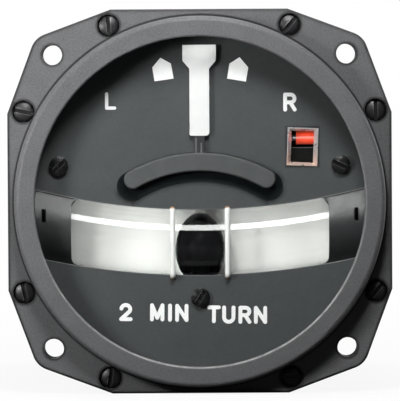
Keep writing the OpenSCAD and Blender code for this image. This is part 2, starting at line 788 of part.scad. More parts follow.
module pillar_screws() color("silver") pillar_spots() {
  translate([0, y_plate0, 0]) screw(1.8, 1.2, small_shank_d / 2, plate_t + 5, 20);
  translate([0, y_rear1, 0]) mirror([0, 1, 0]) screw(1.8, 1.2, small_shank_d / 2, rear_t + 5, 65);
}

module gimbal_bearings() color("gray") {
  ring_y(0, 0, y_plate0, y_plate1, pivot_r + run, pivot_bearing_r);
  ring_y(0, 0, y_rear0, y_rear1, pivot_r + run, pivot_bearing_r);
}

// Gimbal, which tilts about Y and carries the rotor
module gimbal() color("silver") difference() {
  union() {
    translate([-side_x - bar_t, y_gimbal0, -bar_h / 2])
      cube([2 * (side_x + bar_t), y_gimbal1 - y_gimbal0, bar_h]);
    translate([-3, y_gimbal0, -drive_reach - 2.8]) cube([6, bar_t, drive_reach]);
    translate([-2.5, y_gimbal1 - bar_t, 0]) cube([5, bar_t, spring_pin_z + 2]);
  }
  translate([-side_x, y_gimbal0 + bar_t, -bar_h])
    cube([2 * side_x, y_gimbal1 - y_gimbal0 - 2 * bar_t, 2 * bar_h]);
  rod_y(0, 0, y_gimbal0 - 1, y_gimbal1 + 1, pivot_r + fit);
  rod_x(y_rotor, 0, -side_x - bar_t - 1, side_x + bar_t + 1, shaft_bearing_r + fit);
  rod_y(0, -drive_reach, y_gimbal0 - 1, y_gimbal0 + bar_t + 1, pin_r + fit);
  rod_y(damper_x, 0, y_gimbal1 - bar_t - 1, y_gimbal1 + 1, damper_pin_r + fit);
  rod_y(0, spring_pin_z, y_gimbal1 - bar_t - 1, y_gimbal1 + 1, spring_pin_r + fit);
}

module gimbal_pivots() color("gray") {
  rod_y(0, 0, y_plate0 + 0.3, y_gimbal0 + bar_t, pivot_r);
  rod_y(0, 0, y_gimbal1 - bar_t, y_rear1 - 0.3, pivot_r);
}

module drive_pin() color("gray") rod_y(0, -drive_reach, y_arm0 - room, y_gimbal0 + bar_t, pin_r);

// Two pins in the rear bar: one works the damper, one holds the spring
module damper_pin() color("gray") {
  rod_y(damper_x, 0, y_gimbal1 - bar_t, y_damper + 1.5, damper_pin_r);
  rod_y(0, spring_pin_z, y_gimbal1 - bar_t, y_spring + 1.5, spring_pin_r);
}

module rotor_bearings() color("gray") for (s = [-1, 1]) difference() {
  mid = s * (side_x + bar_t / 2);
  rod_x(y_rotor, 0, mid - bar_t / 2, mid + bar_t / 2, shaft_bearing_r);
  rod_x(y_rotor, 0, mid - bar_t, mid + bar_t, shaft_r + run);
}

module motor_stator() color("dimgray") difference() {
  union() {
    rod_x(y_rotor, 0, -rotor_l / 2 + 4, 4, rim_r - 1.5);
    rod_x(y_rotor, 0, -side_x, 6.5, bar_h / 2 - 0.5);
  }
  rod_x(y_rotor, 0, -side_x - 1, 8, shaft_r + 0.6);
}

module stator_coil() color("peru") for (x = [-rotor_l / 2 + 1.4, 4]) difference() {
  rod_x(y_rotor, 0, x, x + 2.6, rim_r - 2.5);
  rod_x(y_rotor, 0, x - 1, x + 4, bar_h / 2 - 0.5 + fit);
}

module gyro_rotor() color("goldenrod") difference() {
  rod_x(y_rotor, 0, -rotor_l / 2, rotor_l / 2, rotor_r);
  rod_x(y_rotor, 0, -rotor_l / 2 - 1, rotor_l / 2 - 4.5, rim_r);
  rod_x(y_rotor, 0, 0, rotor_l / 2 + 1, shaft_r + fit);
}

module rotor_shaft() color("silver") rod_x(y_rotor, 0, -side_x - bar_t + 0.3, side_x + bar_t - 0.3, shaft_r);

// Damper: a pot on the rear frame and a piston worked by the gimbal pin
module damper_cylinder() color("goldenrod") difference() {
  union() {
    rod_z(damper_x, y_damper, damper_z0, damper_z1, barrel_r);
    translate([damper_x - 2.5, y_damper, damper_z0 + 3.6])
      cube([5, y_rear0 - y_damper, damper_z1 - damper_z0 - 3.6]);
  }
  rod_z(damper_x, y_damper, damper_z0 + 1, damper_z1 - 1.2, piston_r + run);
  rod_z(damper_x, y_damper, damper_z1 - 2, damper_z1 + 1, rod_r + 0.3);
}

module damper_piston() color("silver") difference() {
  slot = damper_pin_r + pin_play;
  union() {
    rod_z(damper_x, y_damper, piston_z - piston_h / 2, piston_z + piston_h / 2, piston_r);
    rod_z(damper_x, y_damper, piston_z, 0, rod_r);
    translate([damper_x - slot - 1.6, y_damper - 0.8, -slot - 1.2])
      cube([2 * slot + 3.2, 1.6, 2 * slot + 2.4]);
  }
  translate([damper_x - slot - 0.6, y_damper - 2, -slot]) cube([2 * slot + 1.2, 4, 2 * slot]);
}

module spring_adjuster() color("silver") {
  rod_y(0, adjuster_z, y_spring - 1.5, y_rear1 + 1.5, adjuster_r);
  ring_y(0, adjuster_z, y_rear1, y_rear1 + 1.5, adjuster_r, 2.6);
}

// Wound spring: its ends run straight to the pin and to the adjuster
spring_steps = 10;
spring_sides = 6;
spring_end = 1.2;
spring_pitch = (spring_z1 - spring_z0 - 2 * spring_end) / spring_curls;
spring_path = concat([[0, 0, 0]], [for (i = [0:spring_curls * spring_steps])
  let (a = 360 * i / spring_steps, ease = min(1, i / spring_steps, spring_curls - i / spring_steps))
    [spring_r * ease * cos(a), spring_r * ease * sin(a), spring_end + spring_pitch * i / spring_steps]],
  [[0, 0, spring_z1 - spring_z0]]);
echo(spring_gap = min([for (i = [0:len(spring_path) - 7])
  for (j = [i + 6:min(i + 2 * spring_steps, len(spring_path) - 1)])
    norm(spring_path[i] - spring_path[j])]) - spring_wire);
function unit(v) = v / norm(v);
function run_along(p, i) = unit(p[min(i + 1, len(p) - 1)] - p[max(i - 1, 0)]);
module swept(p, r, sides) {
  rings = [for (i = [0:len(p) - 1])
    let (t = run_along(p, i), u = unit(cross(t, cross([0.6, 0.8, 0], t))), w = cross(t, u))
      for (k = [0:sides - 1]) p[i] + r * (cos(360 * k / sides) * u + sin(360 * k / sides) * w)];
  last = (len(p) - 1) * sides;
  walls = [for (i = [0:len(p) - 2], k = [0:sides - 1])
    let (a = i * sides + k, b = i * sides + (k + 1) % sides)
      each [[a, b, b + sides], [a, b + sides, a + sides]]];
  polyhedron(rings, concat(walls, [[for (k = [sides - 1:-1:0]) k], [for (k = [0:sides - 1]) last + k]]));
}

module centering_spring() color("silver")
  translate([0, y_spring, spring_z0]) swept(spring_path, spring_wire / 2, spring_sides);

// Rear cover and connector
module rear_gasket() color("black") difference() {
  rod_y(0, 0, y_case1, y_cover0, case_r - 1);
  rod_y(0, 0, y_case1 - 1, y_cover0 + 1, lug_at - lug_r - 0.4);
  for (q = [0:3]) at_angle(45 + 90 * q, cover_screw_at)
    rod_y(0, 0, y_case1 - 1, y_cover0 + 1, small_shank_d / 2 + 2 * fit);
}

module socket_spots() {
  for (x = [-1, 1], z = [-1, 1])
    translate([x * socket_pitch / 2, 0, socket_z + z * socket_pitch / 2]) children();
}

module rear_cover() color("darkslategray") difference() {
  turned() polygon([[0, y_cover0], [case_r, y_cover0], [case_r, y_cover1 - 0.6], [case_r - 0.6, y_cover1],
    [0, y_cover1]]);
  for (q = [0:3]) at_angle(45 + 90 * q, cover_screw_at)
    rod_y(0, 0, y_cover0 - 1, y_cover1 + 1, small_shank_d / 2 + 2 * fit);
  rod_y(0, socket_z, y_cover0 - 1, y_cover1 + 1, barrel_bore / 2);
  socket_spots() rod_y(0, 0, y_cover0 - 1, y_cover1 + 1, small_shank_d / 2 + fit);
  rod_y(0, adjuster_z, y_cover0 - 1, y_cover1 + 1, 3 + fit);
}

module rear_cover_screws() color("black") for (q = [0:3])
  at_angle(45 + 90 * q, cover_screw_at) translate([0, y_cover1, 0]) mirror([0, 1, 0])
    screw(2, 1.4, small_shank_d / 2, cover_t + 6, 30 + 50 * q);

module connector_shell() color("gray") difference() {
  union() {
    slab(y_cover1, y_barrel0) translate([0, socket_z]) socket_outline();
    rod_y(0, socket_z, y_cover1, y_barrel1, barrel_d / 2);
  }
  rod_y(0, socket_z, y_cover1 - 1, y_barrel1 + 1, barrel_bore / 2);
  socket_spots() rod_y(0, 0, y_cover1 - 1, y_barrel0 + 1, small_shank_d / 2 + 2 * fit);
}

module socket_outline() {
  at = socket_w / 2 - 2;
  square([socket_w, 2 * at], center = true);
  square([2 * at, socket_w], center = true);
  for (x = [-1, 1], z = [-1, 1]) translate([x * at, z * at]) circle(r = 2);
}

module connector_insert() color("darkolivegreen") difference() {
  rod_y(0, socket_z, y_cover0 - 2, y_insert1, barrel_bore / 2 - fit);
  contacts() rod_y(0, 0, y_cover0 - 3, y_insert1 + 1, contact_d / 2 + fit);
}

module contacts() {
  for (a = [90, 210, 330]) translate([contact_r * cos(a), 0, socket_z + contact_r * sin(a)]) children();
}

module connector_pins() color("gold") contacts()
  rod_y(0, 0, y_cover0 - 5, y_insert1 + contact_l, contact_d / 2);

module connector_screws() color("silver") socket_spots()
  translate([0, y_barrel0, 0]) mirror([0, 1, 0]) screw(1.8, 1.2, small_shank_d / 2, socket_t + cover_t, 40);

module adjuster_plug() color("black") {
  rod_y(0, adjuster_z, y_cover0, y_cover1, 3);
  difference() {
    rod_y(0, adjuster_z, y_cover1, y_cover1 + 1.2, 4);
    translate([-5, y_cover1 + 0.6, adjuster_z - slot_w / 2]) cube([10, 2, slot_w]);
  }
}

front_bezel();
bezel_screws();
cover_glass();
glass_gasket();
glass_retainer();
flange_gasket();
case();
upper_dial();
lower_dial();
dial_screws();
dial_posts();
pivot_post();
slot_plate();
pointer_shield();
shield_posts();
inclinometer_tube();
tube_backing();
tube_end_cap_left();
tube_end_cap_right();
marker_wires();
slip_ball();
flag_window_frame();
flag_bracket();
flag_coil();
flag_drum();
flag_shaft();
flag_magnet();
pointer();
pointer_arm();
front_frame();
frame_screws();
frame_pillars();
rear_frame();
pillar_screws();
gimbal_bearings();
gimbal();
gimbal_pivots();
drive_pin();
damper_pin();
rotor_bearings();
motor_stator();
stator_coil();
gyro_rotor();
rotor_shaft();
damper_cylinder();
damper_piston();
spring_adjuster();
centering_spring();
rear_gasket();
rear_cover();
rear_cover_screws();
connector_shell();
connector_insert();
connector_pins();
connector_screws();
adjuster_plug();
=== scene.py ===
import math

import bmesh
import bpy
import numpy as np
from mathutils import Matrix, Vector


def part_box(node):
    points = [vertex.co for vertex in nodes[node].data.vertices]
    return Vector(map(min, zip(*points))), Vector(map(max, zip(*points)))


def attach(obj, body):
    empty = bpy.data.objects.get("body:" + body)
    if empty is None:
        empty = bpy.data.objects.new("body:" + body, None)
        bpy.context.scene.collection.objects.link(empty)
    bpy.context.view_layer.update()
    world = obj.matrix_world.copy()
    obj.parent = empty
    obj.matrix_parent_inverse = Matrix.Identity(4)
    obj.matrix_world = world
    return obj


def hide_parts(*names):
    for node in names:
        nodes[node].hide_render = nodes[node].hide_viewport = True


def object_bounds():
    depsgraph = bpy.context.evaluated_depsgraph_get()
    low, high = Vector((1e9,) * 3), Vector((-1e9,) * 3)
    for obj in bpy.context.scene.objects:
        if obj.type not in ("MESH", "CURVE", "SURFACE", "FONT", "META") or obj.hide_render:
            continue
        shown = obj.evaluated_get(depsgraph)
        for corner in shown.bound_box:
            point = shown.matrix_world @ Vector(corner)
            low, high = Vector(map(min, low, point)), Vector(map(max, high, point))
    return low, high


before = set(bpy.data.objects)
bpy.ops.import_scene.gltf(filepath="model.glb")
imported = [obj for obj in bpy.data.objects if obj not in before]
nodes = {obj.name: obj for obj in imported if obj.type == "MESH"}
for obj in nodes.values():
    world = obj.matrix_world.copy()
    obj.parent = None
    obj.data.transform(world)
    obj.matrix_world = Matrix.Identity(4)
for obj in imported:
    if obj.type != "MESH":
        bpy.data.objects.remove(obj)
cad_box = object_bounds()
MM = 0.001
scene = bpy.context.scene

# Sizes shared with the solids
PIVOT_Z = -20.8
TUBE_Y, TUBE_Z, TUBE_R, BEND_R = 11.4, -8.97, 7.5, 150.0
BEND_Z = BEND_R + TUBE_Z
WINDOW_X, WINDOW_HALF, WINDOW_ROUND = 27.7, 7.05, 1.6
TUBE_A = math.asin(WINDOW_X / BEND_R) + math.radians(1.45)
CAP_A = math.asin(WINDOW_X / BEND_R) + math.radians(3.2)
CAP_RIM = 35.8
DIAL_Y = 4.5
RING_R, OPENING_R, RING_FRONT = 39.6, 35.2, -5.0
EDGE_BEVEL = 0.4
BAND_REACH, BAND_HALF, BAND_A = 28.2, 3.1, math.radians(31.5)
FOOT_Z = PIVOT_Z + 34.8
DRUM_Y = 8.1

# Thickness of painted letters and marks
PAINT = 0.03
# A place behind every screw head, for heads that get no painted shade round their rim
NO_SHADE_RIM = 500.0
DIAL_GREY = (0.054, 0.059, 0.060)


# Shader helpers
def new_material(name):
    m = bpy.data.materials.new(name)
    m.use_nodes = True
    return m, m.node_tree, m.node_tree.nodes["Principled BSDF"]


def add(nt, kind, **values):
    n = nt.nodes.new(kind)
    for k, v in values.items():
        setattr(n, k, v)
    return n


def fill(node, values):
    for k, v in values.items():
        node.inputs[k].default_value = v


def put(nt, value, socket):
    if isinstance(value, bpy.types.NodeSocket):
        nt.links.new(value, socket)
    else:
        socket.default_value = value


def coords(nt):
    for n in nt.nodes:
        if n.bl_idname == "ShaderNodeTexCoord":
            return n.outputs["Object"]
    return add(nt, "ShaderNodeTexCoord").outputs["Object"]


def axes(nt):
    n = add(nt, "ShaderNodeSeparateXYZ")
    nt.links.new(coords(nt), n.inputs[0])
    return n.outputs


def math_node(nt, op, a, b=0.0, c=0.0):
    n = add(nt, "ShaderNodeMath", operation=op)
    put(nt, a, n.inputs[0])
    put(nt, b, n.inputs[1])
    put(nt, c, n.inputs[2])
    return n.outputs[0]


def folded(nt, op, first, *rest):
    # All values joined by one operation, from left to right
    for value in rest:
        first = math_node(nt, op, first, value)
    return first


def length_of(nt, a, b):
    return math_node(nt, "SQRT", math_node(nt, "MULTIPLY_ADD", a, a, math_node(nt, "MULTIPLY", b, b)))


def apart(nt, value, at):
    return math_node(nt, "ABSOLUTE", math_node(nt, "SUBTRACT", value, at))


def stretched(nt, scale):
    n = add(nt, "ShaderNodeMapping")
    nt.links.new(coords(nt), n.inputs["Vector"])
    n.inputs["Scale"].default_value = scale
    return n.outputs[0]


def noise(nt, scale, detail=3.0, rough=0.55, vector=None):
    n = add(nt, "ShaderNodeTexNoise")
    nt.links.new(vector or coords(nt), n.inputs["Vector"])
    fill(n, {"Scale": scale, "Detail": detail, "Roughness": rough})
    return n.outputs["Fac"]


def ranged(nt, value, a, b, lo, hi):
    n = add(nt, "ShaderNodeMapRange")
    put(nt, value, n.inputs["Value"])
    fill(n, {"From Min": a, "From Max": b, "To Min": lo, "To Max": hi})
    return n.outputs[0]


def across(nt, value, a, b, lo, hi):
    # The same over a length in millimetres
    return ranged(nt, value, a * MM, b * MM, lo, hi)


def uneven(nt, scale, lo, hi, detail=3.0):
    # Noise spread between two values
    return ranged(nt, noise(nt, scale, detail), 0.3, 0.7, lo, hi)


def mixed(nt, share, a, b):
    n = add(nt, "ShaderNodeMix", data_type="RGBA")
    put(nt, share, n.inputs[0])
    put(nt, a, n.inputs[6])
    put(nt, b, n.inputs[7])
    return n.outputs[2]


def rgba(c, k=1.0):
    return (c[0] * k, c[1] * k, c[2] * k, 1.0)


def laid(nt, base, share, colour):
    return mixed(nt, share, base, rgba(colour))


def mottled(nt, colour, amount, scale):
    share = uneven(nt, scale, 0.0, 1.0, detail=4.0)
    return mixed(nt, share, rgba(colour, 1.0 - amount), rgba(colour, 1.0 + amount))


def grainy(nt, base, share, scale, dark, pale):
    grain = ranged(nt, noise(nt, scale, rough=0.7), 0.34, 0.66, 0.0, 1.0)
    return mixed(nt, share, base, mixed(nt, grain, rgba(dark), rgba(pale)))


def bumped(nt, shader, height, depth, strength):
    n = add(nt, "ShaderNodeBump")
    fill(n, {"Strength": strength, "Distance": depth * MM})
    nt.links.new(height, n.inputs["Height"])
    nt.links.new(n.outputs[0], shader.inputs["Normal"])


def finish_of(shader, metal=0.0, spec=0.5, coat=0.0, coat_rough=0.1):
    fill(shader, {"Metallic": metal, "Specular IOR Level": spec, "Coat Weight": coat,
                  "Coat Roughness": coat_rough})


def surface(nt, shader, base, dull, grain, detail=3.0, fine=0.55):
    # dull: its scale, least and most roughness; grain: its scale, depth and strength
    nt.links.new(base, shader.inputs["Base Color"])
    scale, lo, hi = dull
    nt.links.new(uneven(nt, scale, lo, hi, detail), shader.inputs["Roughness"])
    scale, depth, strength = grain
    bumped(nt, shader, noise(nt, scale, detail, fine), depth, strength)


def show(nt, share, plain, other):
    mix = add(nt, "ShaderNodeMixShader")
    nt.links.new(share, mix.inputs[0])
    nt.links.new(plain.outputs[0], mix.inputs[1])
    nt.links.new(other.outputs[0], mix.inputs[2])
    out = [n for n in nt.nodes if n.bl_idname == "ShaderNodeOutputMaterial"][0]
    nt.links.new(mix.outputs[0], out.inputs["Surface"])


def edge_of(nt, value, at, half, soft):
    # 1 within half of a length, falling to 0 over soft
    return across(nt, apart(nt, value, at * MM), half, half + soft, 1.0, 0.0)


def radius_about(nt, x0, z0):
    x, _, z = axes(nt)
    return length_of(nt, math_node(nt, "SUBTRACT", x, x0 * MM), math_node(nt, "SUBTRACT", z, z0 * MM))


def corner_of(nt, reach, inside=False, full=0.55):
    # 0 on open faces, rising to 1 in corners, or on sharp edges where inside is set
    n = add(nt, "ShaderNodeAmbientOcclusion", samples=8, inside=inside, only_local=True)
    n.inputs["Distance"].default_value = reach * MM
    return ranged(nt, n.outputs["AO"], full, 0.95, 1.0, 0.0)


def leaning(nt):
    # 0 on faces that look straight to the front, 1 on those that lean away
    n = add(nt, "ShaderNodeTexCoord")
    split = add(nt, "ShaderNodeSeparateXYZ")
    nt.links.new(n.outputs["Normal"], split.inputs[0])
    return ranged(nt, split.outputs["Y"], -0.95, -0.80, 0.0, 1.0)


def slot_distance(nt):
    # Distance from the middle line of the band that lies under the crescent
    x = axes(nt)[0]
    end_x = BAND_REACH * math.sin(BAND_A)
    end_z = PIVOT_Z + BAND_REACH * math.cos(BAND_A)
    off_arc = apart(nt, radius_about(nt, 0.0, PIVOT_Z), BAND_REACH * MM)
    off_end = math_node(nt, "MINIMUM", radius_about(nt, -end_x, end_z), radius_about(nt, end_x, end_z))
    past = math_node(nt, "GREATER_THAN", math_node(nt, "ABSOLUTE", x), end_x * MM)
    inner = math_node(nt, "MULTIPLY", off_arc, math_node(nt, "SUBTRACT", 1.0, past))
    return math_node(nt, "MULTIPLY_ADD", off_end, past, inner)


def box_distance(nt, lo, hi):
    # Distance outside the upright box of a node, seen from the front
    sides = []
    for axis in (0, 2):
        off = apart(nt, axes(nt)[axis], (lo[axis] + hi[axis]) / 2)
        sides.append(math_node(nt, "SUBTRACT", off, (hi[axis] - lo[axis]) / 2))
    return math_node(nt, "MAXIMUM", *sides)


# Materials
def bezel_paint():
    # Specked grey with rubbed ring edges; painted shade in the crease at the ring's foot, on the flange's
    # leaning edge faces and round its holes; and a painted highlight, a pale line low on the lip
    m, nt, s = new_material("bezel_paint")
    finish_of(s, spec=0.42)
    _, y, z = axes(nt)
    reach = radius_about(nt, 0.0, 0.0)
    flange = across(nt, y, -0.7, -0.3, 0.0, 1.0)
    ring = across(nt, y, -0.7, -0.3, 1.0, 0.0)
    patchy = ranged(nt, noise(nt, 700.0), 0.35, 0.6, 0.35, 0.9)
    base = mottled(nt, (0.104, 0.105, 0.108), 0.10, 260.0)
    base = grainy(nt, base, 0.30, 2400.0, (0.050, 0.050, 0.053), (0.180, 0.181, 0.186))
    speck = ranged(nt, noise(nt, 3600.0, 2.0), 0.60, 0.72, 0.0, 0.40)
    base = laid(nt, base, speck, (0.20, 0.20, 0.205))
    scuff = ranged(nt, noise(nt, 520.0, 6.0, 0.7), 0.66, 0.74, 0.0, 0.25)
    base = laid(nt, base, scuff, (0.21, 0.21, 0.22))
    wear = folded(nt, "MULTIPLY", corner_of(nt, 0.4, True), patchy, ring)
    base = laid(nt, base, wear, (0.31, 0.31, 0.315))
    # Painted shade: a dark line in the crease at the ring's foot
    painted_crease_shade = math_node(nt, "MULTIPLY", edge_of(nt, reach, RING_R + 0.22, 0.21, 0.24), flange)
    base = laid(nt, base, painted_crease_shade, (0.014, 0.014, 0.015))
    # Painted shade: the flange's edge faces that lean away from the front are painted dark
    shallow = across(nt, y, EDGE_BEVEL, EDGE_BEVEL + 0.3, 0.85, 0.0)
    bevel = folded(nt, "MULTIPLY", leaning(nt), flange, shallow)
    base = laid(nt, base, bevel, (0.022, 0.022, 0.024))
    # Painted shade: the flange's sharp edges round its holes and counterbores are painted dark
    rim = math_node(nt, "MULTIPLY", corner_of(nt, 0.75, True, 0.70), flange)
    base = laid(nt, base, rim, (0.016, 0.016, 0.017))
    # Painted highlight: a pale line on the lip's inner edge, strongest low down and patchy
    painted_lip_highlight = edge_of(nt, reach, OPENING_R + 0.12, 0.10, 0.14)
    round_top = across(nt, y, RING_FRONT + 0.3, RING_FRONT + 0.6, 1.0, 0.0)
    low = across(nt, z, -20.0, -6.0, 1.0, 0.12)
    painted_lip_highlight = folded(nt, "MULTIPLY", painted_lip_highlight, round_top, low, patchy)
    base = laid(nt, base, painted_lip_highlight, (0.36, 0.36, 0.355))
    surface(nt, s, base, (900.0, 0.46, 0.62), (2600.0, 0.05, 0.55), fine=0.6)
    return m


def dial_paint():
    # Flecked grey, with painted highlights along the window's edges, painted shadow below the crescent round
    # the slot's band, and painted shade round the flag's frame
    m, nt, s = new_material("dial_paint")
    finish_of(s, spec=0.30)
    x = axes(nt)[0]
    base = mottled(nt, DIAL_GREY, 0.06, 180.0)
    base = grainy(nt, base, 0.18, 2600.0, (0.038, 0.041, 0.042), (0.078, 0.084, 0.085))
    fleck = ranged(nt, noise(nt, 4200.0, 2.0), 0.62, 0.72, 0.0, 0.22)
    base = laid(nt, base, fleck, (0.12, 0.126, 0.126))
    # Painted highlight: pale lines along the window's upper and lower edges, paler over the caps
    bend = radius_about(nt, 0.0, BEND_Z)
    upper = edge_of(nt, bend, BEND_R - WINDOW_HALF, 0.08, 0.18)
    lower = edge_of(nt, bend, BEND_R + WINDOW_HALF, 0.04, 0.10)
    over_caps = across(nt, math_node(nt, "ABSOLUTE", x), 25.0, 27.0, 0.45, 0.95)
    rim = math_node(nt, "MULTIPLY", math_node(nt, "MAXIMUM", upper, lower), over_caps)
    base = laid(nt, base, rim, (0.23, 0.24, 0.24))
    # Painted shadow: the dial darkens below the crescent, round the slot's band
    painted_crescent_shadow = across(nt, slot_distance(nt), BAND_HALF, BAND_HALF + 1.2, 0.85, 0.0)
    below = across(nt, radius_about(nt, 0.0, PIVOT_Z), 28.6, 30.2, 1.0, 0.0)
    base = laid(nt, base, math_node(nt, "MULTIPLY", painted_crescent_shadow, below), (0.006, 0.008, 0.009))
    # Painted shade: a dark outline on the dial round the flag window's frame
    painted_frame_shade = across(nt, box_distance(nt, *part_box("flag_window_frame")), 0.04, 0.42, 0.85, 0.0)
    base = laid(nt, base, painted_frame_shade, (0.008, 0.008, 0.009))
    surface(nt, s, base, (700.0, 0.62, 0.78), (3600.0, 0.02, 0.5), fine=0.6)
    return m


def plain_paint(name, colour, rough, spec, mottle, scale, grain, depth, worn=None):
    # worn is the colour that shows on rubbed edges
    m, nt, s = new_material(name)
    finish_of(s, spec=spec)
    base = mottled(nt, colour, mottle, scale)
    if worn:
        patchy = ranged(nt, noise(nt, 420.0, 5.0, 0.65), 0.42, 0.58, 0.0, 0.9)
        base = laid(nt, base, math_node(nt, "MULTIPLY", corner_of(nt, 0.6, True), patchy), worn)
    surface(nt, s, base, (scale * 3.0, rough - 0.07, rough + 0.07), (grain, depth, 0.5), fine=0.6)
    return m


def metal(name, colour, rough, scale, brush=(1.0, 1.0, 1.0), mottle=0.10, depth=0.01, spread=0.28):
    m, nt, s = new_material(name)
    finish_of(s, metal=1.0)
    nt.links.new(mottled(nt, colour, mottle, 350.0), s.inputs["Base Color"])
    lines = noise(nt, scale, 4.0, 0.6, stretched(nt, brush))
    lo, hi = rough * (1.0 - spread), rough * (1.0 + spread)
    nt.links.new(ranged(nt, lines, 0.3, 0.7, lo, hi), s.inputs["Roughness"])
    bumped(nt, s, lines, depth, 0.4)
    return m


def black_steel(name, shade_rim_y, dark, spec, rough, edge=9.0):
    # The height given is where the dome of a head turns down; below it the head is painted black as painted
    # shade of the gap round it. edge is how much lighter its edges are
    m, nt, s = new_material(name)
    finish_of(s, spec=spec)
    y = axes(nt)[1]
    base = mottled(nt, (dark, dark, dark * 1.1), 0.3, 900.0)
    rub = noise(nt, 1500.0, 5.0, 0.7, stretched(nt, (1.0, 1.0, 0.35)))
    base = laid(nt, base, ranged(nt, rub, 0.58, 0.70, 0.0, 0.7), (dark * 4.0, dark * 4.0, dark * 4.2))
    base = laid(nt, base, corner_of(nt, 0.14, True), (dark * edge, dark * edge, dark * edge))
    # Painted shade: dark in the slot and other hollows
    base = laid(nt, base, corner_of(nt, 0.7), (0.002, 0.002, 0.002))
    # Painted shade: black below the height where the dome turns down
    base = laid(nt, base, across(nt, y, shade_rim_y - 0.16, shade_rim_y, 0.0, 1.0), (0.003, 0.003, 0.003))
    surface(nt, s, base, (1300.0, rough - 0.06, rough + 0.06), (2400.0, 0.03, 0.6), detail=4.0, fine=0.65)
    return m


def pointer_paint():
    # White above the blade's foot, black on the stem
    m, nt, s = new_material("pointer_paint")
    finish_of(s, spec=0.35)
    z = axes(nt)[2]
    white = mottled(nt, (0.75, 0.755, 0.755), 0.03, 300.0)
    black = mottled(nt, (0.018, 0.020, 0.021), 0.2, 700.0)
    stem = across(nt, z, FOOT_Z - 0.04, FOOT_Z + 0.02, 1.0, 0.0)
    surface(nt, s, mixed(nt, stem, white, black), (900.0, 0.50, 0.66), (3000.0, 0.012, 0.5))
    return m


def wire_paint():
    # White enamel, worn to bare copper with a ragged edge where the wires bend back
    m, nt, s = new_material("wire_enamel")
    finish_of(s, spec=0.5)
    z = axes(nt)[2]
    ragged = math_node(nt, "MULTIPLY_ADD", noise(nt, 1600.0, 2.0), 0.9 * MM, apart(nt, z, TUBE_Z * MM))
    bare = across(nt, ragged, 7.75, 8.0, 0.0, 1.0)
    white = mottled(nt, (0.90, 0.90, 0.885), 0.04, 500.0)
    copper = mottled(nt, (0.36, 0.20, 0.11), 0.25, 1200.0)
    surface(nt, s, mixed(nt, bare, white, copper), (1200.0, 0.34, 0.50), (2600.0, 0.015, 0.5))
    return m


def flag_paint():
    # Red on the half that faces the window at rest, black on the other
    m, nt, s = new_material("flag_enamel")
    finish_of(s, spec=0.5, coat=0.6, coat_rough=0.30)
    y = axes(nt)[1]
    red = mottled(nt, (0.93, 0.074, 0.026), 0.06, 700.0)
    black = mottled(nt, (0.016, 0.016, 0.017), 0.2, 700.0)
    rear = across(nt, y, DRUM_Y - 0.05, DRUM_Y + 0.05, 0.0, 1.0)
    surface(nt, s, mixed(nt, rear, red, black), (900.0, 0.30, 0.44), (2600.0, 0.012, 0.5))
    return m


def backing_paint():
    m, nt, s = new_material("backing_enamel")
    finish_of(s, spec=0.3)
    surface(nt, s, mottled(nt, (0.90, 0.90, 0.88), 0.03, 160.0), (600.0, 0.50, 0.65), (2000.0, 0.01, 0.4))
    return m


def slot_black():
    # Sprayed black, fading to the dial's grey at the plate's edge as a painted soft shadow edge
    m, nt, s = new_material("slot_black")
    finish_of(s, spec=0.04)
    painted_shadow_fade = across(nt, slot_distance(nt), BAND_HALF - 0.6, BAND_HALF, 0.0, 0.15)
    black = mottled(nt, (0.005, 0.007, 0.008), 0.2, 500.0)
    grey = mottled(nt, DIAL_GREY, 0.06, 180.0)
    surface(nt, s, mixed(nt, painted_shadow_fade, black, grey), (900.0, 0.64, 0.76), (2600.0, 0.02, 0.5))
    return m


def plating_with_painted_reflection():
    # Bright plating, with a painted rosy reflection of the red drum low down
    m, nt, s = new_material("plating_with_painted_reflection")
    finish_of(s, metal=0.60, spec=0.6)
    z = axes(nt)[2]
    pale = mottled(nt, (0.76, 0.76, 0.77), 0.18, 420.0)
    painted_red_reflection = mottled(nt, (0.97, 0.74, 0.65), 0.10, 500.0)
    ragged = math_node(nt, "MULTIPLY_ADD", noise(nt, 500.0), 2.0 * MM, z)
    # Painted reflection: the red drum's rosy reflection on the frame's lower walls
    low = across(nt, ragged, 10.0, 12.6, 1.0, 0.0)
    surface(nt, s, mixed(nt, low, pale, painted_red_reflection), (700.0, 0.26, 0.31), (1500.0, 0.001, 0.4))
    return m


def worn_black():
    # Dull black with bare edges
    m, nt, s = new_material("flag_black")
    finish_of(s, spec=0.06)
    base = mottled(nt, (0.004, 0.0045, 0.004), 0.2, 400.0)
    base = laid(nt, base, corner_of(nt, 0.16, True), (0.20, 0.19, 0.18))
    surface(nt, s, base, (900.0, 0.50, 0.65), (2200.0, 0.02, 0.5))
    return m


def winding():
    m, nt, s = new_material("copper_winding")
    finish_of(s, metal=0.8, coat=0.5, coat_rough=0.2)
    nt.links.new(mottled(nt, (0.50, 0.21, 0.10), 0.15, 900.0), s.inputs["Base Color"])
    w = add(nt, "ShaderNodeTexWave", wave_type="BANDS", bands_direction="DIAGONAL")
    nt.links.new(coords(nt), w.inputs["Vector"])
    fill(w, {"Scale": 900.0, "Distortion": 1.2})
    nt.links.new(ranged(nt, w.outputs["Fac"], 0.0, 1.0, 0.28, 0.5), s.inputs["Roughness"])
    bumped(nt, s, w.outputs["Fac"], 0.06, 0.8)
    return m


def glass(name, ior, coat, clear_to):
    # Clear to the kinds of light that are named, real glass to the eye
    m, nt, s = new_material(name)
    finish_of(s, coat=coat, coat_rough=0.03)
    tint = rgba((0.985, 0.99, 0.985))
    fill(s, {"IOR": ior, "Transmission Weight": 1.0, "Roughness": 0.0, "Base Color": tint})
    clear = add(nt, "ShaderNodeBsdfTransparent")
    clear.inputs["Color"].default_value = tint
    path = add(nt, "ShaderNodeLightPath")
    show(nt, folded(nt, "MAXIMUM", *[path.outputs[kind] for kind in clear_to]), s, clear)
    return m


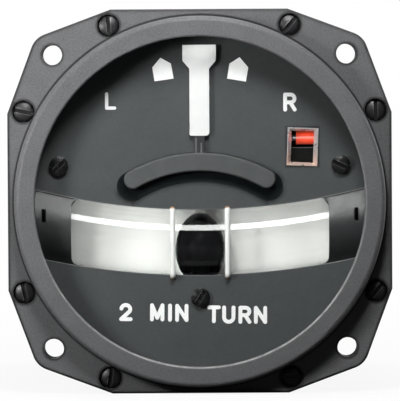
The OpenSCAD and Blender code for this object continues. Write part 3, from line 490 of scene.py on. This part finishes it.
BEZEL = bezel_paint()
DIAL = dial_paint()
SHIELD = plain_paint("shield_paint", (0.065, 0.069, 0.070), rough=0.58, spec=0.35, mottle=0.08,
                     scale=260.0, grain=3200.0, depth=0.02)
SLOT_BLACK = slot_black()
BEZEL_SCREW = black_steel("black_oxide_steel", shade_rim_y=0.50, dark=0.018, spec=0.55, rough=0.41)
DIAL_SCREW = black_steel("black_dial_screws", shade_rim_y=3.56, dark=0.006, spec=0.60, rough=0.25, edge=22.0)
REAR_SCREW = black_steel("black_rear_screws", shade_rim_y=NO_SHADE_RIM, dark=0.016, spec=0.60, rough=0.34)
CASE = plain_paint("case_paint", (0.030, 0.031, 0.033), rough=0.62, spec=0.30, mottle=0.14,
                   scale=140.0, grain=1400.0, depth=0.10, worn=(0.26, 0.26, 0.265))
COVER_GLASS = glass("cover_glass_clear", ior=1.12, coat=0.0, clear_to=["Is Shadow Ray", "Is Diffuse Ray"])
TUBE_GLASS = glass("tube_glass_clear", ior=1.46, coat=1.0, clear_to=["Is Shadow Ray"])
RUBBER = plain_paint("gasket_rubber", (0.018, 0.018, 0.019), rough=0.8, spec=0.25, mottle=0.15,
                     scale=500.0, grain=1600.0, depth=0.05)
WHITE = plain_paint("legend_white", (0.93, 0.935, 0.935), rough=0.58, spec=0.35, mottle=0.03,
                    scale=600.0, grain=3000.0, depth=0.008)
POINTER = pointer_paint()
# Painted highlight: the stem's ribs get a paler grey than the stem's black
PAINTED_RIB_HIGHLIGHT = plain_paint("stem_ribs", (0.13, 0.135, 0.135), rough=0.5, spec=0.4, mottle=0.1,
                  scale=500.0, grain=2600.0, depth=0.01)
BACKING = backing_paint()
CAP = plain_paint("cap_plastic", (0.024, 0.025, 0.026), rough=0.47, spec=0.37, mottle=0.15,
                  scale=400.0, grain=2200.0, depth=0.025)
BALL = plain_paint("ball_enamel", (0.004, 0.004, 0.005), rough=0.16, spec=0.05, mottle=0.2,
                   scale=600.0, grain=2600.0, depth=0.002)
WIRES = wire_paint()
FLAG = flag_paint()
NICKEL = metal("satin_nickel", (0.80, 0.73, 0.71), rough=0.34, scale=1500.0, mottle=0.03, depth=0.0005,
               spread=0.04)
FLAG_FRAME = plating_with_painted_reflection()
FLAG_BLACK = worn_black()
STEEL = metal("turned_steel", (0.50, 0.50, 0.51), rough=0.32, scale=2200.0, brush=(1.0, 0.15, 1.0))
ALUMINIUM = metal("machined_aluminium", (0.66, 0.66, 0.67), rough=0.36, scale=1800.0, brush=(0.2, 1.0, 1.0))
CONNECTOR = metal("anodised_shell", (0.30, 0.31, 0.30), rough=0.40, scale=1500.0, brush=(1.0, 0.2, 1.0))
BRASS = metal("turned_brass", (0.66, 0.47, 0.20), rough=0.30, scale=2200.0, brush=(1.0, 0.15, 1.0))
GOLD = metal("plated_pins", (0.83, 0.62, 0.28), rough=0.22, scale=2200.0, brush=(1.0, 0.2, 1.0))
COPPER = winding()
INSULATOR = plain_paint("moulded_insulator", (0.050, 0.066, 0.046), rough=0.5, spec=0.45, mottle=0.12,
                        scale=500.0, grain=2000.0, depth=0.03)

FINISHES = {
    BEZEL: ["front_bezel"],
    CASE: ["case", "rear_cover"],
    BEZEL_SCREW: ["bezel_screws"],
    DIAL_SCREW: ["dial_screws"],
    REAR_SCREW: ["rear_cover_screws", "adjuster_plug", "pivot_post"],
    COVER_GLASS: ["cover_glass"],
    RUBBER: ["glass_gasket", "flange_gasket", "rear_gasket"],
    DIAL: ["upper_dial", "lower_dial", "glass_retainer"],
    SHIELD: ["pointer_shield"],
    SLOT_BLACK: ["slot_plate"],
    POINTER: ["pointer"],
    BACKING: ["tube_backing"],
    WIRES: ["marker_wires"],
    CAP: ["tube_end_cap_left", "tube_end_cap_right"],
    FLAG_BLACK: ["flag_bracket"],
    BALL: ["slip_ball"],
    NICKEL: ["shield_posts"],
    FLAG_FRAME: ["flag_window_frame"],
    FLAG: ["flag_drum"],
    STEEL: ["flag_shaft", "flag_magnet", "frame_screws", "pillar_screws", "gimbal_bearings",
            "gimbal_pivots", "drive_pin", "damper_pin", "rotor_bearings", "rotor_shaft",
            "damper_piston", "spring_adjuster", "centering_spring", "connector_screws", "motor_stator"],
    ALUMINIUM: ["front_frame", "rear_frame", "frame_pillars", "gimbal", "pointer_arm"],
    CONNECTOR: ["connector_shell"],
    BRASS: ["dial_posts", "gyro_rotor", "damper_cylinder"],
    GOLD: ["connector_pins"],
    COPPER: ["flag_coil", "stator_coil"],
    INSULATOR: ["connector_insert"],
    TUBE_GLASS: ["inclinometer_tube"],
}


def dress(obj, material):
    for slot in obj.material_slots:
        slot.material = material
    if not obj.material_slots:
        obj.data.materials.append(material)


for material, names in FINISHES.items():
    for name in names:
        dress(nodes[name], material)


# Mesh helpers
def make(name, verts, faces, material, body, smooth=False):
    mesh = bpy.data.meshes.new(name)
    mesh.from_pydata([tuple(c * MM for c in v) for v in verts], [], faces)
    obj = bpy.data.objects.new(name, mesh)
    scene.collection.objects.link(obj)
    bm = bmesh.new()
    bm.from_mesh(mesh)
    bmesh.ops.remove_doubles(bm, verts=bm.verts, dist=1e-7)
    bmesh.ops.recalc_face_normals(bm, faces=bm.faces)
    bm.to_mesh(mesh)
    bm.free()
    for p in mesh.polygons:
        p.use_smooth = smooth
    mesh.materials.append(material)
    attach(obj, body)
    return obj


def plate(name, outline, y0, y1, material, body):
    n = len(outline)
    verts = [(x, y0, z) for x, z in outline] + [(x, y1, z) for x, z in outline]
    faces = [list(range(n)), list(range(n, 2 * n))[::-1]]
    faces += [[i, (i + 1) % n, n + (i + 1) % n, n + i] for i in range(n)]
    return make(name, verts, faces, material, body)


def skin(n, rings, first=0):
    # Faces along a row of rings of n points each, with both ends shut
    faces = []
    for i in range(rings - 1):
        for k in range(n):
            a, b = first + i * n + k, first + i * n + (k + 1) % n
            faces.append([a, b, b + n, a + n])
    last = first + (rings - 1) * n
    return faces + [list(range(first, first + n)), list(range(last, last + n))]


def bend_sweep(profile, start, end, steps, turn=1):
    # Sweep of a closed profile about the tube's bend, each point between two angles of its own
    verts = []
    for i in range(steps + 1):
        for reach, y in profile:
            a = start(reach) + max(end(reach) - start(reach), 0.0) * i / steps
            verts.append((turn * reach * math.sin(a), y, BEND_Z - reach * math.cos(a)))
    return verts, skin(len(profile), steps + 1)


def tube_profile(r, sides):
    turns = [2 * math.pi * k / sides for k in range(sides)]
    return [(BEND_R + r * math.cos(t), TUBE_Y + r * math.sin(t)) for t in turns]


def bow(cx, cz, rx, rz, a0, a1, n=14):
    return [(cx + rx * math.cos(math.radians(a0 + (a1 - a0) * i / n)),
             cz + rz * math.sin(math.radians(a0 + (a1 - a0) * i / n))) for i in range(n + 1)]


# Tube with its liquid, one clear body
def filled_tube():
    sides, steps = 72, 120
    verts, faces = bend_sweep(tube_profile(TUBE_R, sides), lambda r: -TUBE_A, lambda r: TUBE_A, steps)
    obj = make("inclinometer_tube_filled", verts, faces, TUBE_GLASS, "housing", True)
    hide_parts("inclinometer_tube")
    return obj


# The tube gathers the key lamp's light on its backing
filled_tube().cycles.is_caustics_caster = True
nodes["tube_backing"].cycles.is_caustics_receiver = True


# Front of each tube cap: its end carried on to the rim of the dial, and a shoulder up to the dial's edge
def rim_angle(reach):
    return math.acos((reach * reach + BEND_Z * BEND_Z - CAP_RIM * CAP_RIM) / (2 * reach * BEND_Z))


def window_angle(reach):
    # Where the cap's upright edge, with its rounded corner, crosses this reach
    corner_x = WINDOW_X - WINDOW_ROUND
    corner_z = BEND_Z - math.sqrt((BEND_R - WINDOW_HALF + WINDOW_ROUND) ** 2 - corner_x ** 2)
    halvings = 24
    lo_x, hi_x = corner_x, WINDOW_X
    for _ in range(halvings):
        x = (lo_x + hi_x) / 2
        above = max(BEND_Z - math.sqrt(reach ** 2 - x ** 2) - corner_z, 0.0)
        if math.hypot(x - corner_x, above) < WINDOW_ROUND:
            lo_x = x
        else:
            hi_x = x
    return math.asin(hi_x / reach)


def cap_front(node, name, turn):
    # The shoulder leaves the round of the cap at a height of its own and runs on straight
    cap_r = TUBE_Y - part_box(node)[0][1] / MM
    leave, gap, sunk = 4.0, 0.02, 0.1
    sides, rows, end_steps, shoulder_steps = 64, 16, 6, 10
    edge = WINDOW_HALF - gap

    def face(h):
        return TUBE_Y - math.sqrt(cap_r ** 2 - h ** 2)

    slope = leave / math.sqrt(cap_r ** 2 - leave ** 2)
    heights = [leave + (edge - leave) * i / rows for i in range(rows + 1)]
    shoulder = [(BEND_R - h, face(leave) + slope * (h - leave)) for h in heights]
    shoulder += [(BEND_R - h, face(h) + sunk) for h in reversed(heights)]
    short = [(reach, y) for reach, y in tube_profile(cap_r, sides) if rim_angle(reach) > CAP_A]
    verts, faces = bend_sweep(short, lambda r: CAP_A, rim_angle, end_steps, turn)
    more, rest = bend_sweep(shoulder, window_angle, rim_angle, shoulder_steps, turn)
    faces += [[len(verts) + i for i in f] for f in rest]
    obj = make(name, verts + more, faces, CAP, "housing", True)
    obj.data.set_sharp_from_angle(angle=math.radians(20.0))


cap_front("tube_end_cap_left", "tube_cap_front_left", -1)
cap_front("tube_end_cap_right", "tube_cap_front_right", 1)


# Lettering, drawn as round-ended strokes in a box of cap height 1
GLYPHS = {
    "L": [[(0, 1), (0, 0), (0.56, 0)]],
    "R": [[(0, 0), (0, 1)], [(0, 1), (0.36, 1)] + bow(0.36, 0.74, 0.27, 0.26, 90, -90) + [(0, 0.48)],
          [(0.34, 0.48), (0.64, 0)]],
    "2": [bow(0.32, 0.70, 0.31, 0.30, 172, -28) + [(0.0, 0.0)], [(0.0, 0.0), (0.66, 0.0)]],
    "M": [[(0, 0), (0, 1)], [(0, 1), (0.37, 0.12)], [(0.37, 0.12), (0.74, 1)], [(0.74, 1), (0.74, 0)]],
    "I": [[(0, 0), (0, 1)]],
    "N": [[(0, 0), (0, 1)], [(0, 1), (0.66, 0)], [(0.66, 0), (0.66, 1)]],
    "T": [[(0, 1), (0.70, 1)], [(0.35, 1), (0.35, 0)]],
    "U": [[(0, 1), (0, 0.32)] + bow(0.33, 0.32, 0.33, 0.32, 180, 360) + [(0.66, 1)]],
}
GLYPH_CELL = 0.07


def glyph_cells(strokes, height, pen, step):
    # A grid of points round the glyph, with each point's distance outside the stroke
    segs = []
    for line in strokes:
        for p, q in zip(line[:-1], line[1:]):
            segs.append((np.array(p) * height, np.array(q) * height))
    pts = np.array([p for s in segs for p in s])
    lo, hi = pts.min(0) - pen, pts.max(0) + pen
    nx = int((hi[0] - lo[0]) / step) + 2
    nz = int((hi[1] - lo[1]) / step) + 2
    gx, gz = np.meshgrid(lo[0] + step * np.arange(nx), lo[1] + step * np.arange(nz), indexing="ij")
    best = np.full(gx.shape, np.inf)
    for p, q in segs:
        d = q - p
        t = np.clip(((gx - p[0]) * d[0] + (gz - p[1]) * d[1]) / max(d @ d, 1e-12), 0, 1)
        best = np.minimum(best, np.hypot(gx - p[0] - t * d[0], gz - p[1] - t * d[1]))
    return gx, gz, best - pen / 2


def clipped(tri):
    # The part of a triangle whose corner values are not above zero
    out = []
    for (p, a), (q, b) in zip(tri, tri[1:] + tri[:1]):
        if a <= 0:
            out.append(p)
        if (a <= 0) != (b <= 0):
            t = a / (a - b)
            out.append((p[0] + t * (q[0] - p[0]), p[1] + t * (q[1] - p[1])))
    return out


def legend(name, placed, y_back, thick, material, body):
    bm = bmesh.new()
    for ch, x0, z0, height, pen, lean in placed:
        gx, gz, f = glyph_cells(GLYPHS[ch], height, pen, GLYPH_CELL)
        ca, sa = math.cos(math.radians(lean)), math.sin(math.radians(lean))
        for i in range(gx.shape[0] - 1):
            for j in range(gx.shape[1] - 1):
                ring = [(i, j), (i + 1, j), (i + 1, j + 1), (i, j + 1)]
                if min(f[c] for c in ring) > 0:
                    continue
                corner = [((gx[c], gz[c]), f[c]) for c in ring]
                for tri in (corner[:3], [corner[0], corner[2], corner[3]]):
                    poly = clipped(tri)
                    if len(poly) < 3:
                        continue
                    vs = [bm.verts.new(((x0 + ca * p[0] - sa * p[1]) * MM, (y_back - thick) * MM,
                                        (z0 + sa * p[0] + ca * p[1]) * MM)) for p in poly]
                    bm.faces.new(vs)
    bmesh.ops.remove_doubles(bm, verts=bm.verts, dist=2e-7)
    bmesh.ops.dissolve_degenerate(bm, edges=bm.edges, dist=1e-7)
    bmesh.ops.dissolve_limit(bm, angle_limit=0.01, verts=bm.verts, edges=bm.edges)
    made = bmesh.ops.extrude_face_region(bm, geom=list(bm.faces))
    moved = [v for v in made["geom"] if isinstance(v, bmesh.types.BMVert)]
    bmesh.ops.translate(bm, verts=moved, vec=(0, thick * MM, 0))
    bmesh.ops.recalc_face_normals(bm, faces=bm.faces)
    mesh = bpy.data.meshes.new(name)
    bm.to_mesh(mesh)
    bm.free()
    obj = bpy.data.objects.new(name, mesh)
    scene.collection.objects.link(obj)
    mesh.materials.append(material)
    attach(obj, body)
    return obj


# Letter, left end and foot of its middle line, height of its middle line, stroke, lean in degrees
TOP_LETTERS = [("L", -19.92, 20.04, 3.04, 0.72, 0.0), ("R", 18.42, 19.50, 3.22, 0.82, 0.0)]
PEN, LEAN = 0.84, -0.6
TURN_RATE = [(ch, x, z, height, PEN, LEAN) for ch, x, z, height in (
    ("2", -17.08, -25.36, 3.05), ("M", -10.46, -25.46, 3.05), ("I", -6.58, -25.56, 3.05),
    ("N", -5.05, -25.60, 3.05), ("T", 1.80, -25.92, 3.0), ("U", 5.05, -26.05, 3.05),
    ("R", 8.55, -26.10, 3.05), ("N", 11.88, -26.14, 3.05),
)]
letters = [legend("legend_turn_sides", TOP_LETTERS, DIAL_Y, PAINT, WHITE, "housing"),
           legend("legend_turn_rate", TURN_RATE, DIAL_Y, PAINT, WHITE, "housing")]

# Rate marks beside the pointer
MARKS = {
    "rate_mark_left": [(-8.33, 30.79), (-6.08, 29.56), (-5.48, 26.29), (-9.61, 25.71), (-10.08, 28.70)],
    "rate_mark_right": [(8.72, 30.80), (10.55, 28.60), (10.02, 25.55), (5.98, 26.24), (6.50, 29.45)],
}
marks = [plate(name, outline, DIAL_Y - PAINT, DIAL_Y, WHITE, "housing") for name, outline in MARKS.items()]


# Enamelled wires in front of the tube, each bent back into the dial
def marker_wires():
    bare_r, coat, bend, bend_steps, sides = 0.5, 0.08, 0.75, 8, 16
    r = bare_r + coat
    lo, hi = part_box("marker_wires")
    wire_x, wire_y, back = hi[0] / MM - bare_r, lo[1] / MM + bare_r, hi[1] / MM
    mid, leg = (lo[2] + hi[2]) / 2 / MM, (hi[2] - lo[2]) / 2 / MM - bare_r
    corner = bow(0, 0, bend, bend, 90, 0, bend_steps)
    path = [(back, leg)] + [(wire_y + bend - y, leg - bend + z) for y, z in corner]
    path += [(y, -z) for y, z in reversed(path)]
    verts, faces = [], []
    for x in (-wire_x, wire_x):
        faces += skin(sides, len(path), len(verts))
        for i, (y, z) in enumerate(path):
            before, after = path[max(i - 1, 0)], path[min(i + 1, len(path) - 1)]
            along = Vector((after[0] - before[0], after[1] - before[1])).normalized()
            for k in range(sides):
                t = 2 * math.pi * k / sides
                out = r * math.sin(t)
                verts.append((x + r * math.cos(t), y + along.y * out, mid + z - along.x * out))
    obj = make("marker_wire_pair", verts, faces, WIRES, "housing", True)
    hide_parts("marker_wires")


marker_wires()


# Pointer cut from sheet, its foot filed round
def pointer_blade():
    head, blade, stem = 7.2 / 2, 4.25 / 2, 2.2 / 2
    head_h, taper, file_steps = 3.4, 1.7, 6
    filed_right, filed_left = 0.75, 0.35
    lo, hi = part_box("pointer")
    tip, low = hi[2] / MM, lo[2] / MM
    neck = tip - head_h
    outline = [(-head, tip), (head, tip), (head, neck), (blade, neck - taper)]
    outline += bow(blade - filed_right, FOOT_Z + filed_right, filed_right, filed_right, 0, -90, file_steps)
    outline += [(stem, FOOT_Z), (stem, low), (-stem, low), (-stem, FOOT_Z)]
    outline += bow(filed_left - blade, FOOT_Z + filed_left, filed_left, filed_left, -90, -180, file_steps)
    outline += [(-blade, neck - taper), (-head, neck)]
    obj = plate("pointer_blade", outline, lo[1] / MM, hi[1] / MM, POINTER, "turn_pointer")
    bevel = obj.modifiers.new("filed_edges", "BEVEL")
    bevel.width = 0.05 * MM
    bevel.segments = 2
    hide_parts("pointer")
    return obj


blade = pointer_blade()


# Two pressed ribs on the pointer's stem, painted paler than the stem as a painted highlight
def stem_ribs():
    foot_half, top_half, foot_y, top_y = 0.20, 0.09, 3.32, 3.18
    section = [(-foot_half, foot_y), (-top_half, top_y), (top_half, top_y), (foot_half, foot_y)]
    verts, faces = [], []
    for x, z0, z1 in ((-0.74, 10.3, 13.5), (0.38, 10.3, 12.5)):
        faces += skin(len(section), 2, len(verts))
        verts += [(x + off, y, z) for z in (z0, z1) for off, y in section]
    make("pointer_stem_ribs", verts, faces, PAINTED_RIB_HIGHLIGHT, "turn_pointer")


stem_ribs()


# Crescent over the pointer's slot, with rounded edges
def crescent():
    reach, half, spread = 29.2, 2.0, 29.3
    y0, y1 = 2.3, 3.0
    arc_steps, end_steps = 48, 16
    line = []
    for turn, start in ((1, 0.0), (-1, math.pi)):
        for i in range(arc_steps + 1):
            a = math.radians(turn * (2 * spread * i / arc_steps - spread))
            line.append(((reach + turn * half) * math.sin(a), (reach + turn * half) * math.cos(a)))
        a = math.radians(turn * spread)
        for i in range(1, end_steps):
            b = a + start + math.pi * i / end_steps
            line.append((reach * math.sin(a) + half * math.sin(b), reach * math.cos(a) + half * math.cos(b)))
    obj = plate("crescent_shield", [(x, z + PIVOT_Z) for x, z in line], y0, y1, SHIELD, "housing")
    bm = bmesh.new()
    bm.from_mesh(obj.data)
    rim = [e for e in bm.edges if all(v.co.y < (y0 + 0.01) * MM for v in e.verts)]
    bmesh.ops.bevel(bm, geom=rim, offset=0.42 * MM, segments=5, profile=0.5, affect="EDGES")
    bm.to_mesh(obj.data)
    bm.free()
    for p in obj.data.polygons:
        p.use_smooth = abs(p.normal.y) < 0.999
    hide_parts("pointer_shield")


crescent()


# Rolled thread on the connector's barrel
def connector_thread():
    root, crest, pitch, turns, sides = 15.9 / 2, 8.32, 1.25, 8, 72
    sunk, plain_end = 0.25, 1.0
    tooth = ((0.0, root), (0.32, crest), (0.58, crest), (0.90, root))
    lo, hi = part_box("connector_shell")
    cz = (lo[2] + hi[2]) / 2 / MM
    y_end = hi[1] / MM - plain_end
    y0 = y_end - pitch * turns
    profile = [(root - sunk, y0)]
    profile += [(r, y0 + (i + share) * pitch) for i in range(turns) for share, r in tooth]
    profile += [(root, y_end), (root - sunk, y_end)]
    verts, faces = [], []
    m = len(profile)
    for k in range(sides):
        t = 2 * math.pi * k / sides
        verts += [(r * math.cos(t), y, cz + r * math.sin(t)) for r, y in profile]
        n = (k + 1) % sides
        faces += [[k * m + j, k * m + (j + 1) % m, n * m + (j + 1) % m, n * m + j] for j in range(m)]
    obj = make("connector_thread", verts, faces, CONNECTOR, "housing")


connector_thread()

# Camera, which looks at MIDDLE from AWAY and sees WIDE from side to side there
ELEV, ROLL = math.radians(1.4), math.radians(0.33)
AWAY, WIDE, SENSOR = 0.85, 0.08555, 36.0
MIDDLE = Vector((0.00002, 0.0, 0.00017))
forward = Vector((0.0, math.cos(ELEV), -math.sin(ELEV)))
right = Vector((1.0, 0.0, 0.0))
up = right.cross(forward)
side = right * math.cos(ROLL) - up * math.sin(ROLL)
top = up * math.cos(ROLL) + right * math.sin(ROLL)
cam_data = bpy.data.cameras.new("camera")
cam_data.sensor_fit = "HORIZONTAL"
cam_data.sensor_width = SENSOR
cam_data.lens = SENSOR * AWAY / WIDE
cam_data.clip_start, cam_data.clip_end = 0.01, 100.0
cam = bpy.data.objects.new("camera", cam_data)
scene.collection.objects.link(cam)
place = Matrix((side, top, -forward)).transposed().to_4x4()
place.translation = MIDDLE - forward * AWAY
cam.matrix_world = place
scene.camera = cam


# Light
def aimed(data, at, aim):
    obj = bpy.data.objects.new(data.name, data)
    scene.collection.objects.link(obj)
    turn = (Vector(aim) - Vector(at)).to_track_quat("-Z", "Y")
    obj.matrix_world = Matrix.Translation(at) @ turn.to_matrix().to_4x4()
    obj.visible_camera = False
    return obj


def lamp(name, at, aim, size, power):
    data = bpy.data.lights.new(name, "AREA")
    data.energy = power
    data.shape = "DISK"
    data.size = size
    data.cycles.is_caustics_light = name == "key_top"
    return aimed(data, at, aim)


def spot(name, at, aim, cone, power):
    data = bpy.data.lights.new(name, "SPOT")
    data.energy = power
    data.spot_size = math.radians(cone)
    data.spot_blend = 1.0
    data.shadow_soft_size = 0.004
    return aimed(data, at, aim)


def linked(obj, pieces, state):
    # INCLUDE lights these pieces alone, EXCLUDE all but these
    group = bpy.data.collections.new(obj.name + "_link")
    for piece in pieces:
        group.objects.link(piece)
    for entry in group.collection_objects:
        entry.light_linking.link_state = state
    obj.light_linking.receiver_collection = group


FACE_MID, CASE_MID, TUBE_MID = (0.0, 0.0, 0.0), (0.0, 0.06, 0.0), (0.0, 0.02, -0.009)
backing = nodes["tube_backing"]
lamp("key_top", (0.004, -0.1275, 0.142), FACE_MID, size=0.070, power=0.36)
key_left = lamp("key_left", (-0.112, -0.1105, 0.033), FACE_MID, size=0.040, power=0.166)
linked(key_left, [backing], "EXCLUDE")
lamp("back_left", (-0.70, 0.80, 0.60), CASE_MID, size=0.60, power=7.0)
lamp("back_right", (0.75, 0.70, 0.50), CASE_MID, size=0.60, power=6.0)
lamp("above", (0.10, 0.30, 1.10), CASE_MID, size=0.60, power=4.5)

# Fill light for single pieces: where it stands, what it aims at, its size and power, and what it lights
FRONT, SOFT = (0.0, -0.50, 0.02), 0.20
HEAD_Z = 0.0335
FILLS = {
    "tube_fill": (FRONT, TUBE_MID, SOFT, 1.28, [backing]),
    "tube_side": ((-0.18, -0.43, 0.17), TUBE_MID, 0.065, 0.80, [backing]),
    "flag_fill": (FRONT, (0.022, 0.01, 0.012), SOFT, 1.85, [nodes["flag_drum"], nodes["flag_shaft"]]),
    "mark_fill": (FRONT, (0.0, 0.01, 0.028), SOFT, 1.00, marks),
    "letter_fill": (FRONT, (0.0, 0.004, 0.0), SOFT, 0.26, letters),
    "low_fill": ((0.16, -0.30, -0.30), (0.01, 0.0, -0.03), SOFT, 0.50,
                 [nodes["front_bezel"], nodes["bezel_screws"]]),
}
for name, (at, aim, size, power, lit) in FILLS.items():
    linked(lamp(name, at, aim, size, power), lit, "INCLUDE")
head_spot = spot("pointer_fill", (0.0, -0.50, HEAD_Z), (0.0, 0.003, HEAD_Z), cone=1.7, power=6.5)
linked(head_spot, [blade], "INCLUDE")


# Surroundings: white to the eye, in mirrors bright behind the part and dim in front, faint to the rest
def studio():
    faint = 0.012
    world = bpy.data.worlds.new("studio")
    world.use_nodes = True
    nt = world.node_tree
    nt.nodes.clear()
    path = add(nt, "ShaderNodeLightPath")
    toward = add(nt, "ShaderNodeTexCoord")
    split = add(nt, "ShaderNodeSeparateXYZ")
    nt.links.new(toward.outputs["Generated"], split.inputs[0])
    mirror = ranged(nt, split.outputs["Y"], -0.35, 0.25, 0.05, 1.0)
    seen = math_node(nt, "MAXIMUM", path.outputs["Is Glossy Ray"], path.outputs["Is Transmission Ray"])
    seen = math_node(nt, "MULTIPLY", seen, mirror)
    level = folded(nt, "MAXIMUM", seen, path.outputs["Is Camera Ray"], faint)
    back = add(nt, "ShaderNodeBackground")
    back.inputs["Color"].default_value = (1.0, 1.0, 1.0, 1.0)
    nt.links.new(level, back.inputs["Strength"])
    out = add(nt, "ShaderNodeOutputWorld")
    nt.links.new(back.outputs[0], out.inputs[0])
    return world


scene.world = studio()


# Floor: white to the eye but for a soft shade round the part, dark to the light it sends back
def floor_paint():
    m, nt, s = new_material("floor_white")
    finish_of(s, spec=0.0)
    s.inputs["Roughness"].default_value = 0.9
    glow = add(nt, "ShaderNodeEmission")
    glow.inputs["Strength"].default_value = 1.0
    path = add(nt, "ShaderNodeLightPath")
    x, y, _ = axes(nt)
    bounce = math_node(nt, "MAXIMUM", path.outputs["Is Diffuse Ray"], path.outputs["Is Glossy Ray"])
    grey = mixed(nt, bounce, rgba((0.72, 0.72, 0.72)), rgba((0.05, 0.05, 0.05)))
    nt.links.new(grey, s.inputs["Base Color"])
    mirrored = math_node(nt, "MAXIMUM", path.outputs["Is Glossy Ray"], path.outputs["Is Transmission Ray"])
    mirrored = math_node(nt, "MULTIPLY", mirrored, ranged(nt, y, 0.0, 0.05, 0.0, 1.0))
    seen = math_node(nt, "MAXIMUM", path.outputs["Is Camera Ray"], mirrored)
    share = math_node(nt, "MULTIPLY", seen, ranged(nt, length_of(nt, x, y), 0.05, 0.45, 0.90, 1.0))
    show(nt, share, s, glow)
    return m


FLOOR_GAP, FLOOR_FAR, FLOOR_NEAR = 0.00005, 4.0, -0.6
floor_mesh = bpy.data.meshes.new("floor")
low = cad_box[0][2] - FLOOR_GAP
floor_mesh.from_pydata([(-FLOOR_FAR, FLOOR_NEAR, low), (FLOOR_FAR, FLOOR_NEAR, low),
                        (FLOOR_FAR, FLOOR_FAR, low), (-FLOOR_FAR, FLOOR_FAR, low)], [], [[0, 1, 2, 3]])
floor_mesh.materials.append(floor_paint())
floor = bpy.data.objects.new("floor", floor_mesh)
scene.collection.objects.link(floor)

scene.view_settings.view_transform = "Standard"
